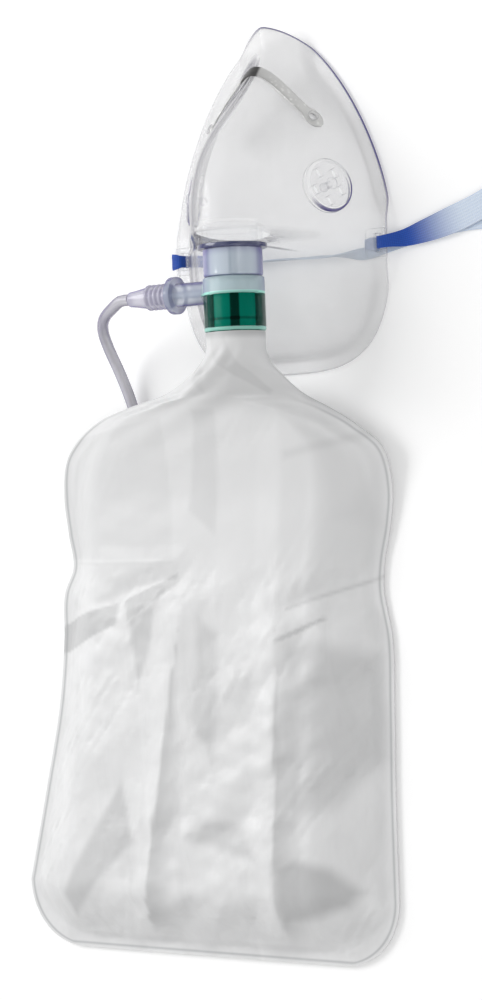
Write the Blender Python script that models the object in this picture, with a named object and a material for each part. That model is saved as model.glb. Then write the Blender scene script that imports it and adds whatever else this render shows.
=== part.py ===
"""Oxygen face mask with a reservoir bag, its tubing and its head strap.

The mask lies open side down on a table. X = 0 is its plane of symmetry, +Y points to the nose,
and the origin is on the underside of the rim at the chin. Lengths are in metres. The pieces are
laid out from the chin's outer edge, and one empty carries them all to the origin.
"""

import math

import bpy
import numpy as np
from mathutils import Vector

MM = 0.001
GAP = 0.3 * MM
CHIN_EDGE_Y = -3 * MM
SMALL_CUT = 1.0 * MM

# Mask shell
MASK_LENGTH = 131 * MM
MASK_HALF_WIDTH = 45.8 * MM
WIDEST_Y = 60.7 * MM
CHIN_ROUNDNESS = 3.3
NOSE_TAPER = 1.42
NOSE_ROUNDNESS = 0.594
FLANGE_WIDTH = 5 * MM
FLANGE_THICKNESS = 1.4 * MM
WALL = 1.2 * MM
NOSE_RISE = 10 * MM
NOSE_RISE_START = 95 * MM
NOSE_FOLD_HALF_WIDTH = 14 * MM
NOSE_FOLD_RADIUS = 1.5 * MM
RIDGE_START_Y = 78 * MM
CHEEK_ARCH = 2.6 * MM
BULGE_HEIGHT = 52.5 * MM
BULGE_FULL_Y = 56 * MM
BULGE_END_INSET = 6 * MM
CHIN_HEIGHT = 21 * MM
CHIN_FULL_Y = 40 * MM
SHELF_Y = 47.6 * MM
SHELF_DEPTH = 4 * MM

# Breathing connector, standard 22 mm size
AXIS_Z = 38.5 * MM
CONNECTOR_OD = 22 * MM
CONNECTOR_WALL = 1.6 * MM
SLEEVE_LENGTH = 11.8 * MM
SLEEVE_FLANGE_OD = 25.6 * MM
SLEEVE_FLANGE_LENGTH = 1.6 * MM
SNAP_LIP_OD = 24.4 * MM
SEAT_RING_OD = 27.4 * MM
SEAT_RING_LENGTH = 5 * MM
TEE_OD = 22.8 * MM
TEE_WALL = 1.3 * MM
TEE_LENGTH = 19.8 * MM
SPIGOT_LENGTH = 9 * MM
VALVE_SEAT_LENGTH = 1.4 * MM
VALVE_HUB_RADIUS = 1.6 * MM
VALVE_SPOKES = 4
SPOKE_WIDTH = 1.4 * MM
VALVE_DISC_THICKNESS = 0.5 * MM
ADAPTER_WALL = 1.4 * MM
ADAPTER_INSERT_LENGTH = 13.8 * MM
ADAPTER_TAIL_LENGTH = 7 * MM

# Oxygen inlet and tubing
INLET_DROP = 4.7 * MM
INLET_OD = 8.8 * MM
INLET_BORE = 2.8 * MM
INLET_LENGTH = 26.2 * MM
INLET_BARB_OD = 5.2 * MM
INLET_FLANGE_OD = 14 * MM
INLET_FLANGE_LENGTH = 2.4 * MM
INLET_BARB_LENGTH = 11 * MM
TUBE_OD = 4.4 * MM
CUFF_OD = 9.6 * MM
CUFF_LENGTH = 18.5 * MM
CUFF_TIP_OD = 6.4 * MM
CUFF_RIBS = 5
OUTLET_LENGTH = 38 * MM
OUTLET_OD = 11.2 * MM
OUTLET_BORE = 6.8 * MM
OUTLET_BORE_LENGTH = 20 * MM
COIL_MID_DIAMETER = 50 * MM
COIL_TURNS_WIDE = 6
COIL_TURNS_HIGH = 2
COIL_CENTRE = (-25 * MM, -95 * MM)

# Exhalation valves
PORT_X = 0.635 * MASK_HALF_WIDTH
PORT_Y = 68 * MM
PORT_SEAT_OD = 20 * MM
PORT_SEAT_PROUD = 0.9 * MM
PORT_SEAT_DEPTH = 2.4 * MM
PORT_HOLES = 5
PORT_HOLE_OD = 3.8 * MM
PORT_HOLE_CIRCLE = 11.6 * MM
VALVE_OD = 17.6 * MM
VALVE_THICKNESS = 0.8 * MM
VALVE_STEM_OD = 2.2 * MM
VALVE_KNOB_OD = 4.4 * MM

# Nose clip
CLIP_WIDTH = 5 * MM
CLIP_THICKNESS = 0.8 * MM
CLIP_FROM_TIP = 18.5 * MM
CLIP_TOP_Y = MASK_LENGTH - CLIP_FROM_TIP
CLIP_REACH = 24 * MM
CLIP_SWEEP = 22 * MM
CLIP_LOBE_OD = 7.4 * MM
CLIP_HOLE_OD = 3 * MM
STUD_OD = 2.2 * MM
STUD_HEAD_OD = 4 * MM
STUD_HEAD_HEIGHT = 0.8 * MM

# Strap eyelets and strap
EYELET_Y = 46.5 * MM
EYELET_LENGTH = 10.5 * MM
EYELET_WIDTH = 8 * MM
EYELET_HEIGHT = 1.2 * MM
SLOT_LENGTH = 6.8 * MM
SLOT_WIDTH = 2.4 * MM
STRAP_WIDTH = 10 * MM
STRAP_THICKNESS = 0.8 * MM
STRAP_GATHERED = 4.6 * MM

# Reservoir bag
BAG_BOTTOM_Y = -223.8 * MM
BAG_LIFT = 12 * MM
BAG_HALF_THICKNESS = 3.6 * MM
BAG_SEAM = 0.9 * MM
BAG_END_TAPER = 30 * MM
BAG_NECK_WALL = 0.9 * MM
FOLD_HALF_WIDTH = 10 * MM
CRUMPLE_PITCHES = (34 * MM, 26 * MM, 21 * MM)
CRUMPLE_DEPTH = 0.75 * MM

ROUND_SEGMENTS = 32
CARRIER = "chin_edge"


def smooth(t):
    """Rises from 0 to 1 with level ends."""
    t = np.clip(t, 0.0, 1.0)
    return t * t * (3 - 2 * t)


def material(name, color, roughness, metallic=0.0):
    made = bpy.data.materials.new(name)
    made.use_nodes = True
    shader = made.node_tree.nodes["Principled BSDF"]
    shader.inputs["Base Color"].default_value = (*color, 1)
    shader.inputs["Roughness"].default_value = roughness
    shader.inputs["Metallic"].default_value = metallic
    return made


def place_in_part(made, parent=None):
    """Links an object and hangs it on its parent, or on the empty that carries the whole part."""
    bpy.context.scene.collection.objects.link(made)
    made.parent = parent or bpy.data.objects[CARRIER]
    return made


def add_mesh(name, points, faces, finish, parent=None):
    mesh = bpy.data.meshes.new(name)
    mesh.from_pydata([tuple(p) for p in points], [], [tuple(f) for f in faces])
    mesh.materials.append(finish)
    mesh.shade_smooth()
    mesh.set_sharp_from_angle(angle=math.radians(40))
    return place_in_part(bpy.data.objects.new(name, mesh), parent)


def turned(name, profile, finish, parent=None, segments=ROUND_SEGMENTS):
    """Turns a closed profile of (radius, height) points round local Z, listed anticlockwise."""
    points = []
    rings = []
    for radius, height in profile:
        if radius == 0:
            rings.append([len(points)] * segments)
            points.append((0, 0, height))
            continue
        rings.append(list(range(len(points), len(points) + segments)))
        for k in range(segments):
            angle = 2 * math.pi * k / segments
            points.append((radius * math.cos(angle), radius * math.sin(angle), height))
    faces = []
    for low, high in zip(rings, rings[1:] + rings[:1]):
        for k in range(segments):
            after = (k + 1) % segments
            corners = dict.fromkeys((low[k], low[after], high[after], high[k]))
            if len(corners) > 2:
                faces.append(list(corners))
    return add_mesh(name, points, faces, finish, parent)


def block(name, size, place, finish, parent=None):
    x, y, z = (side / 2 for side in size)
    points = [(i * x, j * y, k * z) for k in (-1, 1) for j in (-1, 1) for i in (-1, 1)]
    faces = [(0, 2, 3, 1), (4, 5, 7, 6), (0, 1, 5, 4), (2, 6, 7, 3), (0, 4, 6, 2), (1, 3, 7, 5)]
    made = add_mesh(name, points, faces, finish, parent)
    made.location = place
    return made


def combine(target, tool, operation, solver="EXACT"):
    """Joins or cuts the target with a hidden tool by a Boolean."""
    step = target.modifiers.new(tool.name, "BOOLEAN")
    step.operation = operation
    step.solver = solver
    step.object = tool
    tool.hide_render = True
    tool.display_type = "WIRE"


def closed_loft(loops):
    """Faces that join equal closed loops in turn and fill the first and last one."""
    count = len(loops[0])
    points = np.concatenate(loops)
    faces = []
    for row in range(len(loops) - 1):
        for k in range(count):
            after = (k + 1) % count
            start = row * count
            faces.append((start + k, start + after, start + count + after, start + count + k))
    faces.append(tuple(reversed(range(count))))
    last = (len(loops) - 1) * count
    faces.append(tuple(range(last, last + count)))
    return points, faces


def through(route, steps):
    """Rows of a smooth curve through the route's rows, with so many steps from each to the next.

    It is a cubic whose slope at a row is the mean slope of the stretches beside it.
    """
    rows = np.array(route, float)
    spans = np.linalg.norm(np.diff(rows[:, :3], axis=0), axis=1)[:, None]
    slopes = np.diff(rows, axis=0) / spans
    inner = (slopes[:-1] * spans[1:] + slopes[1:] * spans[:-1]) / (spans[1:] + spans[:-1])
    tangents = np.concatenate([slopes[:1], inner, slopes[-1:]])
    fine = []
    for low, high, span, leave, arrive in zip(rows, rows[1:], spans, tangents, tangents[1:]):
        t = np.linspace(0, 1, steps, endpoint=False)[:, None]
        bend = (1 - t) * leave * span - t * arrive * span - (1 - 2 * t) * (high - low)
        fine.append(low + (high - low) * t + t * (1 - t) * bend)
    return np.concatenate([*fine, rows[-1:]])


def smooth_route(route, count):
    """Evenly spaced rows of the smooth curve through the route's rows."""
    fine = through(route, 24)
    along = np.concatenate([[0], np.cumsum(np.linalg.norm(np.diff(fine[:, :3], axis=0), axis=1))])
    even = np.linspace(0, along[-1], count)
    return np.stack([np.interp(even, along, column) for column in fine.T], axis=1)


# Mask outline and height


def half_width(y, inset=0.0):
    """Half the mask's width at y, with its outline moved inwards by inset."""
    y = np.asarray(y, float)
    chin = np.clip((WIDEST_Y - y) / (WIDEST_Y - inset), 0, 1)
    nose = np.clip((y - WIDEST_Y) / (MASK_LENGTH - inset - WIDEST_Y), 0, 1)
    low = (1 - chin**CHIN_ROUNDNESS) ** (1 / CHIN_ROUNDNESS)
    high = (1 - nose**NOSE_TAPER) ** NOSE_ROUNDNESS
    return (MASK_HALF_WIDTH - inset) * np.where(y < WIDEST_Y, low, high)


def chin_edge(x, inset):
    """The outline's y at x on the chin side."""
    share = np.abs(x) / (MASK_HALF_WIDTH - inset)
    return WIDEST_Y - (WIDEST_Y - inset) * (1 - share**CHIN_ROUNDNESS) ** (1 / CHIN_ROUNDNESS)


def nose_edge(x, inset):
    """The outline's y at x on the nose side."""
    share = np.abs(x) / (MASK_HALF_WIDTH - inset)
    rise = (1 - share ** (1 / NOSE_ROUNDNESS)) ** (1 / NOSE_TAPER)
    return WIDEST_Y + (MASK_LENGTH - inset - WIDEST_Y) * rise


def rim_height(x, y):
    """The underside of the rim: flat on the table, arched at the eyelets, folded up at the nose."""
    nose = NOSE_RISE * smooth((y - NOSE_RISE_START) / (MASK_LENGTH - NOSE_RISE_START))
    off_fold = np.sqrt(x * x + NOSE_FOLD_RADIUS**2) - NOSE_FOLD_RADIUS
    nose = nose * np.clip(1 - off_fold / NOSE_FOLD_HALF_WIDTH, 0, 1)
    arch = CHEEK_ARCH * smooth(1.6 - np.abs(y - EYELET_Y) / (1.1 * EYELET_LENGTH))
    return nose + arch * smooth(2 * np.abs(x) / MASK_HALF_WIDTH - 0.7)


def dome_height(x, y, inset, shelf_y, lost):
    """Height of the shell above its rim: a low chin part and a high bulge with a shelf between."""
    step = smooth((y - shelf_y) / SHELF_DEPTH)
    chin_run = np.clip((CHIN_FULL_Y - y) / (CHIN_FULL_Y - inset), 0, 1)
    chin = (CHIN_HEIGHT - lost) * (1 - chin_run**2.6)
    bulge_end = MASK_LENGTH - BULGE_END_INSET - (inset - FLANGE_WIDTH)
    bulge_run = np.clip((y - BULGE_FULL_Y) / (bulge_end - BULGE_FULL_Y), 0, 1)
    bulge = (BULGE_HEIGHT - lost) * (1 - bulge_run**2.5) ** 1.6
    share = np.clip(np.abs(x) / np.maximum(half_width(y, inset), 1e-6), 0, 1)
    chin_section = 1 - share**3
    ridge = smooth((y - RIDGE_START_Y) / (MASK_LENGTH - RIDGE_START_Y))
    bulge_section = (1 - share ** (2 - 0.7 * ridge)) ** 1.6
    return chin * chin_section * (1 - step) + bulge * bulge_section * step


def outer_height(x, y):
    lifted = dome_height(x, y, FLANGE_WIDTH, SHELF_Y, 0.0)
    return rim_height(x, y) + FLANGE_THICKNESS + lifted


def inner_height(x, y):
    lost = WALL - FLANGE_THICKNESS
    return rim_height(x, y) + dome_height(x, y, FLANGE_WIDTH + WALL, SHELF_Y + WALL, lost)


CHIN_CORNER_X = 24 * MM
NOSE_CORNER_X = 14 * MM
COLUMNS = 20
CHIN_BLEND_Y = SHELF_Y - 3 * MM
NOSE_BLEND_Y = SHELF_Y + SHELF_DEPTH + 4 * MM


def side_rows(inset):
    """The y at which each row of the skin meets the outline, close together at the shelf."""
    low = np.linspace(chin_edge(CHIN_CORNER_X, inset), CHIN_BLEND_Y, 9, endpoint=False)
    shelf = np.linspace(CHIN_BLEND_Y, NOSE_BLEND_Y, 13, endpoint=False)
    high = np.linspace(NOSE_BLEND_Y, nose_edge(NOSE_CORNER_X, inset), 15)
    return np.concatenate([low, shelf, high])


def skin_grid(inset):
    """Plan positions of one skin: rows from chin to nose, bowed like the outline at both ends."""
    rows = side_rows(inset)[:, None]
    across = np.sin(np.linspace(-0.5, 0.5, COLUMNS + 1) * math.pi * 0.86) / math.sin(0.43 * math.pi)
    width = half_width(rows, inset)
    chin_bow = chin_edge(CHIN_CORNER_X, inset) - chin_edge(across * CHIN_CORNER_X, inset)
    nose_bow = nose_edge(across * NOSE_CORNER_X, inset) - nose_edge(NOSE_CORNER_X, inset)
    chin_share = np.clip((CHIN_BLEND_Y - rows) / (CHIN_BLEND_Y - rows[0]), 0, 1) ** 2
    nose_share = np.clip((rows - NOSE_BLEND_Y) / (rows[-1] - NOSE_BLEND_Y), 0, 1) ** 2
    x = across * width
    y = rows - chin_bow * chin_share + nose_bow * nose_share
    return x, y


def around(grid):
    """The grid's border from its first corner, anticlockwise seen from above."""
    return np.concatenate([grid[0, :-1], grid[:-1, -1], grid[-1, :0:-1], grid[:0:-1, 0]])


def shell_mesh(finish):
    """Outer skin, rounded flange and inner skin as one closed surface."""
    points = []
    faces = []

    def add_rows(x, y, z):
        start = len(points)
        points.extend(np.stack([x.ravel(), y.ravel(), z.ravel()], axis=1))
        return start + np.arange(x.size).reshape(x.shape)

    outer_x, outer_y = skin_grid(FLANGE_WIDTH)
    inner_x, inner_y = skin_grid(FLANGE_WIDTH + WALL)
    outer = add_rows(outer_x, outer_y, outer_height(outer_x, outer_y))
    inner = add_rows(inner_x, inner_y, inner_height(inner_x, inner_y))
    for grid, facing in ((outer, 1), (inner, -1)):
        for low, high in zip(grid, grid[1:]):
            for quad in zip(low, low[1:], high[1:], high):
                faces.append(quad[::facing])
    loops = [around(outer)]
    for inset, share in ((0.5 * MM, 1.0), (0.0, 0.5), (0.5 * MM, 0.0)):
        x, y = (around(part) for part in skin_grid(inset))
        loops.append(add_rows(x, y, rim_height(x, y) + share * FLANGE_THICKNESS))
    loops.append(around(inner))
    for inside, outside in zip(loops, loops[1:]):
        for k in range(len(inside)):
            before = k - 1
            faces.append((inside[k], inside[before], outside[before], outside[k]))
    return add_mesh("mask_shell", points, faces, finish)


def surface_frame(x, y):
    """Place and outward normal of the outer skin at a plan position."""
    step = 0.5 * MM
    slope_x = (outer_height(x + step, y) - outer_height(x - step, y)) / (2 * step)
    slope_y = (outer_height(x, y + step) - outer_height(x, y - step)) / (2 * step)
    return Vector((x, y, float(outer_height(x, y)))), Vector((-slope_x, -slope_y, 1)).normalized()


def face_along(made, place, direction):
    made.location = place
    made.rotation_euler = direction.to_track_quat("Z", "Y").to_euler()


def cylinder(name, radius, low, high, finish, parent=None, segments=ROUND_SEGMENTS):
    profile = [(0, low), (radius, low), (radius, high), (0, high)]
    return turned(name, profile, finish, parent, segments)


def mask_shell(finish, airway):
    """The formed shell. The exact solver leaves holes in its doubly curved skins, so it isn't used."""
    shell = shell_mesh(finish)
    seat_start = SHELF_Y - 0.4 * MM
    seat_end = seat_start + SEAT_RING_LENGTH
    ring = cylinder("connector_seat", SEAT_RING_OD / 2, seat_start, seat_end, finish, airway)
    combine(shell, ring, "UNION", "MANIFOLD")
    bore = CONNECTOR_OD / 2 + GAP
    hole = cylinder("connector_hole", bore, seat_start - SMALL_CUT, seat_end + SMALL_CUT, finish, airway)
    combine(shell, hole, "DIFFERENCE", "MANIFOLD")
    for side, name in ((-1, "left"), (1, "right")):
        place, normal = surface_frame(side * PORT_X, PORT_Y)
        seat = cylinder(f"port_seat_{name}", PORT_SEAT_OD / 2, -PORT_SEAT_DEPTH, PORT_SEAT_PROUD, finish)
        face_along(seat, place, normal)
        combine(shell, seat, "UNION", "MANIFOLD")
        around_stem = [(PORT_HOLE_CIRCLE / 2, 2 * math.pi * k / PORT_HOLES) for k in range(PORT_HOLES)]
        drills = [(0, 0, VALVE_STEM_OD / 2 + GAP)]
        drills += [(r * math.cos(a), r * math.sin(a), PORT_HOLE_OD / 2) for r, a in around_stem]
        turn = normal.to_track_quat("Z", "Y")
        for number, (u, v, radius) in enumerate(drills):
            drill = cylinder(f"port_drill_{name}_{number}", radius, -8 * MM, 4 * MM, finish, None, 12)
            face_along(drill, place + turn @ Vector((u, v, 0)), normal)
            combine(shell, drill, "DIFFERENCE", "MANIFOLD")
        eyelet_x = side * (MASK_HALF_WIDTH - EYELET_WIDTH / 2 - 0.3 * MM)
        pad_height = EYELET_HEIGHT + FLANGE_THICKNESS / 2
        pad_low = CHEEK_ARCH + FLANGE_THICKNESS / 2
        pad_place = (eyelet_x, EYELET_Y, pad_low + pad_height / 2)
        pad = block(f"eyelet_pad_{name}", (EYELET_WIDTH, EYELET_LENGTH, pad_height), pad_place, finish)
        combine(shell, pad, "UNION", "MANIFOLD")
        slot_place = (side * SLOT_X, EYELET_Y, pad_low)
        slot = block(f"eyelet_slot_{name}", (SLOT_WIDTH, SLOT_LENGTH, 12 * MM), slot_place, finish)
        combine(shell, slot, "DIFFERENCE", "MANIFOLD")
        end, end_normal = clip_end(side)
        stud = turned(f"clip_stud_{name}", stud_profile(), finish, None, 16)
        face_along(stud, end, end_normal)
        combine(shell, stud, "UNION", "MANIFOLD")
    return shell


SLOT_X = MASK_HALF_WIDTH - 3.6 * MM


# Nose clip


def clip_line(share):
    """The strip's middle line on the shell, share running from -1 at left to 1 at right."""
    x = share * CLIP_REACH
    y = CLIP_TOP_Y - CLIP_SWEEP * (math.sqrt(share * share + 0.04) - 0.2) / 0.82
    return surface_frame(x, y)


def clip_end(side):
    return clip_line(side * (1 - 0.8 * CLIP_LOBE_OD / 2 / CLIP_REACH))


def stud_profile():
    head = GAP + CLIP_THICKNESS + GAP + GAP
    top = head + STUD_HEAD_HEIGHT
    radius = STUD_OD / 2
    edge = STUD_HEAD_OD / 2
    return [(0, -0.8 * MM), (radius, -0.8 * MM), (radius, head), (edge, head), (edge, top), (0, top)]


def nose_clip(finish):
    """A strip bent over the ridge on the shell's own surface, with a round lobe at each end."""
    loops = []
    shares = np.linspace(-1, 1, 33)
    for share in shares:
        place, normal = clip_line(share)
        ahead, _ = clip_line(share + 0.02)
        behind, _ = clip_line(share - 0.02)
        along = (ahead - behind).normalized()
        across = normal.cross(along).normalized()
        up = along.cross(across)
        from_end = (1 - abs(share)) * CLIP_REACH * 1.25
        lobe = CLIP_LOBE_OD / 2
        lobe_width = math.sqrt(max(lobe**2 - (from_end - lobe) ** 2, 0))
        width = max(CLIP_WIDTH / 2 if from_end > lobe else 0, lobe_width, 1.2 * MM)
        lift = GAP + 0.35 * MM
        base = place + up * lift
        corners = [(-width, 0), (width, 0), (width, CLIP_THICKNESS), (-width, CLIP_THICKNESS)]
        loops.append(np.array([base + across * u + up * v for u, v in corners]))
    points, faces = closed_loft(loops)
    clip = add_mesh("nose_clip", points, faces, finish)
    for side, name in ((-1, "left"), (1, "right")):
        place, normal = clip_end(side)
        hole = cylinder(f"clip_hole_{name}", CLIP_HOLE_OD / 2, -2 * MM, 4 * MM, finish, None, 16)
        face_along(hole, place, normal)
        combine(clip, hole, "DIFFERENCE")
    return clip


# Exhalation valves


def exhale_valve(side, name, finish):
    """An umbrella valve: a thin disc with a knob, held by a stem and bulb through the seat."""
    place, normal = surface_frame(side * PORT_X, PORT_Y)
    base = PORT_SEAT_PROUD + GAP
    edge = VALVE_OD / 2
    stem = VALVE_STEM_OD / 2
    knob = VALVE_KNOB_OD / 2
    bulb = stem + 0.7 * MM
    under = -PORT_SEAT_DEPTH - GAP
    profile = [
        (0, under - 2.2 * MM),
        (stem, under - 1.8 * MM),
        (bulb, under - 0.6 * MM),
        (bulb, under),
        (stem, under),
        (stem, base),
        (edge, base),
        (edge, base + 0.5 * VALVE_THICKNESS),
        (edge - 1.2 * MM, base + VALVE_THICKNESS),
        (knob, base + VALVE_THICKNESS),
        (knob, base + 2 * VALVE_THICKNESS),
        (0.6 * knob, base + 2.6 * VALVE_THICKNESS),
        (0, base + 2.8 * VALVE_THICKNESS),
    ]
    valve = turned(f"exhale_valve_{name}", profile, finish, None, 24)
    face_along(valve, place, normal)
    return valve


# Airway pieces, turned round local Z, which lies along world +Y

SLEEVE_TOP = SHELF_Y - 0.4 * MM - GAP
SLEEVE_BOTTOM = SLEEVE_TOP - SLEEVE_LENGTH
TEE_TOP = SLEEVE_BOTTOM - GAP
TEE_BOTTOM = TEE_TOP - TEE_LENGTH
SLEEVE_BORE = CONNECTOR_OD / 2 - CONNECTOR_WALL
SPIGOT_RADIUS = SLEEVE_BORE - GAP
TEE_BORE = TEE_OD / 2 - TEE_WALL
INLET_Y = TEE_TOP - INLET_DROP


def mask_connector(finish, airway):
    """The sleeve: a barrel through the shell, held by an outer flange and an inner snap lip."""
    barrel = CONNECTOR_OD / 2
    inner_end = SHELF_Y - 0.4 * MM + SEAT_RING_LENGTH + GAP
    profile = [
        (SLEEVE_BORE, SLEEVE_BOTTOM),
        (barrel - 0.4 * MM, SLEEVE_BOTTOM),
        (barrel, SLEEVE_BOTTOM + 0.6 * MM),
        (barrel, SLEEVE_TOP - SLEEVE_FLANGE_LENGTH),
        (SLEEVE_FLANGE_OD / 2, SLEEVE_TOP - SLEEVE_FLANGE_LENGTH),
        (SLEEVE_FLANGE_OD / 2, SLEEVE_TOP),
        (barrel, SLEEVE_TOP),
        (barrel, inner_end),
        (SNAP_LIP_OD / 2, inner_end),
        (SNAP_LIP_OD / 2 - 0.3 * MM, inner_end + 1 * MM),
        (barrel - 0.6 * MM, inner_end + 2 * MM),
        (SLEEVE_BORE, inner_end + 2 * MM),
    ]
    return turned("mask_connector", profile, finish, airway)


def oxygen_tee(finish, airway):
    """The tee: a spigot in the sleeve, a spoked valve seat, a wide body and the side inlet."""
    outside = TEE_OD / 2
    bore = SPIGOT_RADIUS - TEE_WALL
    profile = [
        (TEE_BORE, TEE_BOTTOM),
        (outside - 0.3 * MM, TEE_BOTTOM),
        (outside, TEE_BOTTOM + 0.5 * MM),
        (outside, TEE_TOP - 0.4 * MM),
        (outside - 0.4 * MM, TEE_TOP),
        (SPIGOT_RADIUS, TEE_TOP),
        (SPIGOT_RADIUS, TEE_TOP + SPIGOT_LENGTH - 0.6 * MM),
        (SPIGOT_RADIUS - 0.5 * MM, TEE_TOP + SPIGOT_LENGTH),
        (bore, TEE_TOP + SPIGOT_LENGTH),
        (bore, TEE_TOP - 1.5 * MM),
        (TEE_BORE, TEE_TOP - 1.5 * MM),
    ]
    tee = turned("oxygen_tee", profile, finish, airway)
    hub = cylinder("valve_hub", VALVE_HUB_RADIUS, TEE_TOP, TEE_TOP + VALVE_SEAT_LENGTH, finish, airway, 16)
    combine(tee, hub, "UNION")
    seat_middle = TEE_TOP + VALVE_SEAT_LENGTH / 2
    for number in range(VALVE_SPOKES // 2):
        size = (2 * bore + TEE_WALL, SPOKE_WIDTH, VALVE_SEAT_LENGTH - 0.2 * MM)
        spoke = block(f"valve_spoke_{number}", size, (0, 0, seat_middle - 0.1 * MM), finish, airway)
        spoke.rotation_euler = (0, 0, math.pi * (number + 0.5) / (VALVE_SPOKES // 2))
        combine(tee, spoke, "UNION")
    barrel = INLET_OD / 2
    reach = outside + INLET_LENGTH
    flange = reach - INLET_BARB_LENGTH
    start = outside - 0.6 * TEE_WALL
    inlet_profile = [
        (0, start),
        (barrel, start),
        (barrel, flange - INLET_FLANGE_LENGTH),
        (INLET_FLANGE_OD / 2, flange - INLET_FLANGE_LENGTH),
        (INLET_FLANGE_OD / 2, flange),
        (INLET_BARB_OD / 2 - 0.4 * MM, flange),
        (INLET_BARB_OD / 2 - 0.4 * MM, reach - 4 * MM),
        (INLET_BARB_OD / 2, reach - 4 * MM),
        (INLET_BARB_OD / 2 - 0.7 * MM, reach),
        (0, reach),
    ]
    inlet = turned("inlet_branch", inlet_profile, finish, None, 20)
    face_along(inlet, Vector((0, INLET_Y, AXIS_Z)), Vector((-1, 0, 0)))
    combine(tee, inlet, "UNION")
    bore_tool = cylinder("inlet_bore", INLET_BORE / 2, outside / 2, reach + SMALL_CUT, finish, None, 12)
    face_along(bore_tool, Vector((0, INLET_Y, AXIS_Z)), Vector((-1, 0, 0)))
    combine(tee, bore_tool, "DIFFERENCE")
    return tee


def bag_valve_disc(finish, airway):
    low = TEE_TOP + VALVE_SEAT_LENGTH + GAP
    radius = SPIGOT_RADIUS - TEE_WALL - 0.8 * MM
    return cylinder("bag_valve_disc", radius, low, low + VALVE_DISC_THICKNESS, finish, airway)


ADAPTER_TOP = TEE_BOTTOM + ADAPTER_INSERT_LENGTH
ADAPTER_BOTTOM = TEE_BOTTOM - ADAPTER_TAIL_LENGTH
ADAPTER_RADIUS = TEE_BORE - GAP


def bag_adapter(finish, airway):
    """The green ring inside the tee, notched at the inlet, whose tail holds the bag's neck."""
    bore = ADAPTER_RADIUS - ADAPTER_WALL
    profile = [
        (bore, ADAPTER_BOTTOM),
        (ADAPTER_RADIUS - 0.6 * MM, ADAPTER_BOTTOM),
        (ADAPTER_RADIUS, ADAPTER_BOTTOM + 1 * MM),
        (ADAPTER_RADIUS, ADAPTER_TOP),
        (bore, ADAPTER_TOP),
    ]
    ring = turned("bag_adapter", profile, finish, airway)
    notch = cylinder("adapter_notch", INLET_BORE, 0.3 * TEE_OD, TEE_OD, finish, None, 16)
    face_along(notch, Vector((0, INLET_Y, AXIS_Z)), Vector((-1, 0, 0)))
    combine(ring, notch, "DIFFERENCE")
    return ring


# Tubing

INLET_END_X = -(TEE_OD / 2 + INLET_LENGTH)
CUFF_START_X = INLET_END_X + INLET_BARB_LENGTH - GAP
CUFF_END_X = CUFF_START_X - CUFF_LENGTH
TUBE_Z = TUBE_OD / 2 + 0.1 * MM
COIL_RADIUS = (COIL_MID_DIAMETER + COIL_TURNS_WIDE * TUBE_OD) / 2
COIL_OUTER_TURN = COIL_RADIUS - TUBE_OD / 2
COIL_JOIN = 19 * MM
LEAD_ROUTE = [
    (CUFF_END_X - 2.2 * GAP, INLET_Y, AXIS_Z),
    (CUFF_END_X - 4 * MM, INLET_Y - 0.05 * MM, AXIS_Z - 0.1 * MM),
    (-55.6 * MM, 27.6 * MM, 36 * MM),
    (-63 * MM, 24.6 * MM, 30.6 * MM),
    (-68.8 * MM, 20.4 * MM, 23 * MM),
    (-71.8 * MM, 14.2 * MM, 15 * MM),
    (-71.8 * MM, 5.6 * MM, 8.4 * MM),
    (-69.6 * MM, -6 * MM, 4.2 * MM),
    (-66.6 * MM, -20 * MM, TUBE_Z + 0.3 * MM),
    (-63.4 * MM, -36 * MM, TUBE_Z),
    (-61.4 * MM, -51 * MM, TUBE_Z),
    (COIL_CENTRE[0] - COIL_OUTER_TURN - 0.3 * MM, -64 * MM, TUBE_Z),
    (COIL_CENTRE[0] - COIL_OUTER_TURN - 0.1 * MM, COIL_CENTRE[1] + COIL_JOIN, TUBE_Z),
]
TAIL_ROUTE = [
    (-32 * MM, -135.2 * MM, TUBE_Z),
    (-24 * MM, -135.9 * MM, TUBE_Z),
    (-16 * MM, -138 * MM, 2.6 * MM),
    (-9.8 * MM, -142.6 * MM, 3.8 * MM),
    (-6.2 * MM, -148.4 * MM, 5.3 * MM),
    (-5 * MM, -153.2 * MM, 5.9 * MM),
    (-5 * MM, -155.7 * MM, 5.9 * MM),
]
LEAD_ROW_COUNT = 18
TAIL_ROW_COUNT = 8


def tube(name, route, count, finish):
    spine = smooth_route(route, count)
    curve = bpy.data.curves.new(name, "CURVE")
    curve.dimensions = "3D"
    curve.bevel_depth = TUBE_OD / 2
    curve.bevel_resolution = 2
    curve.use_fill_caps = True
    line = curve.splines.new("POLY")
    line.points.add(count - 1)
    line.points.foreach_set("co", np.column_stack([spine, np.ones(count)]).ravel())
    curve.materials.append(finish)
    return place_in_part(bpy.data.objects.new(name, curve))


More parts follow.
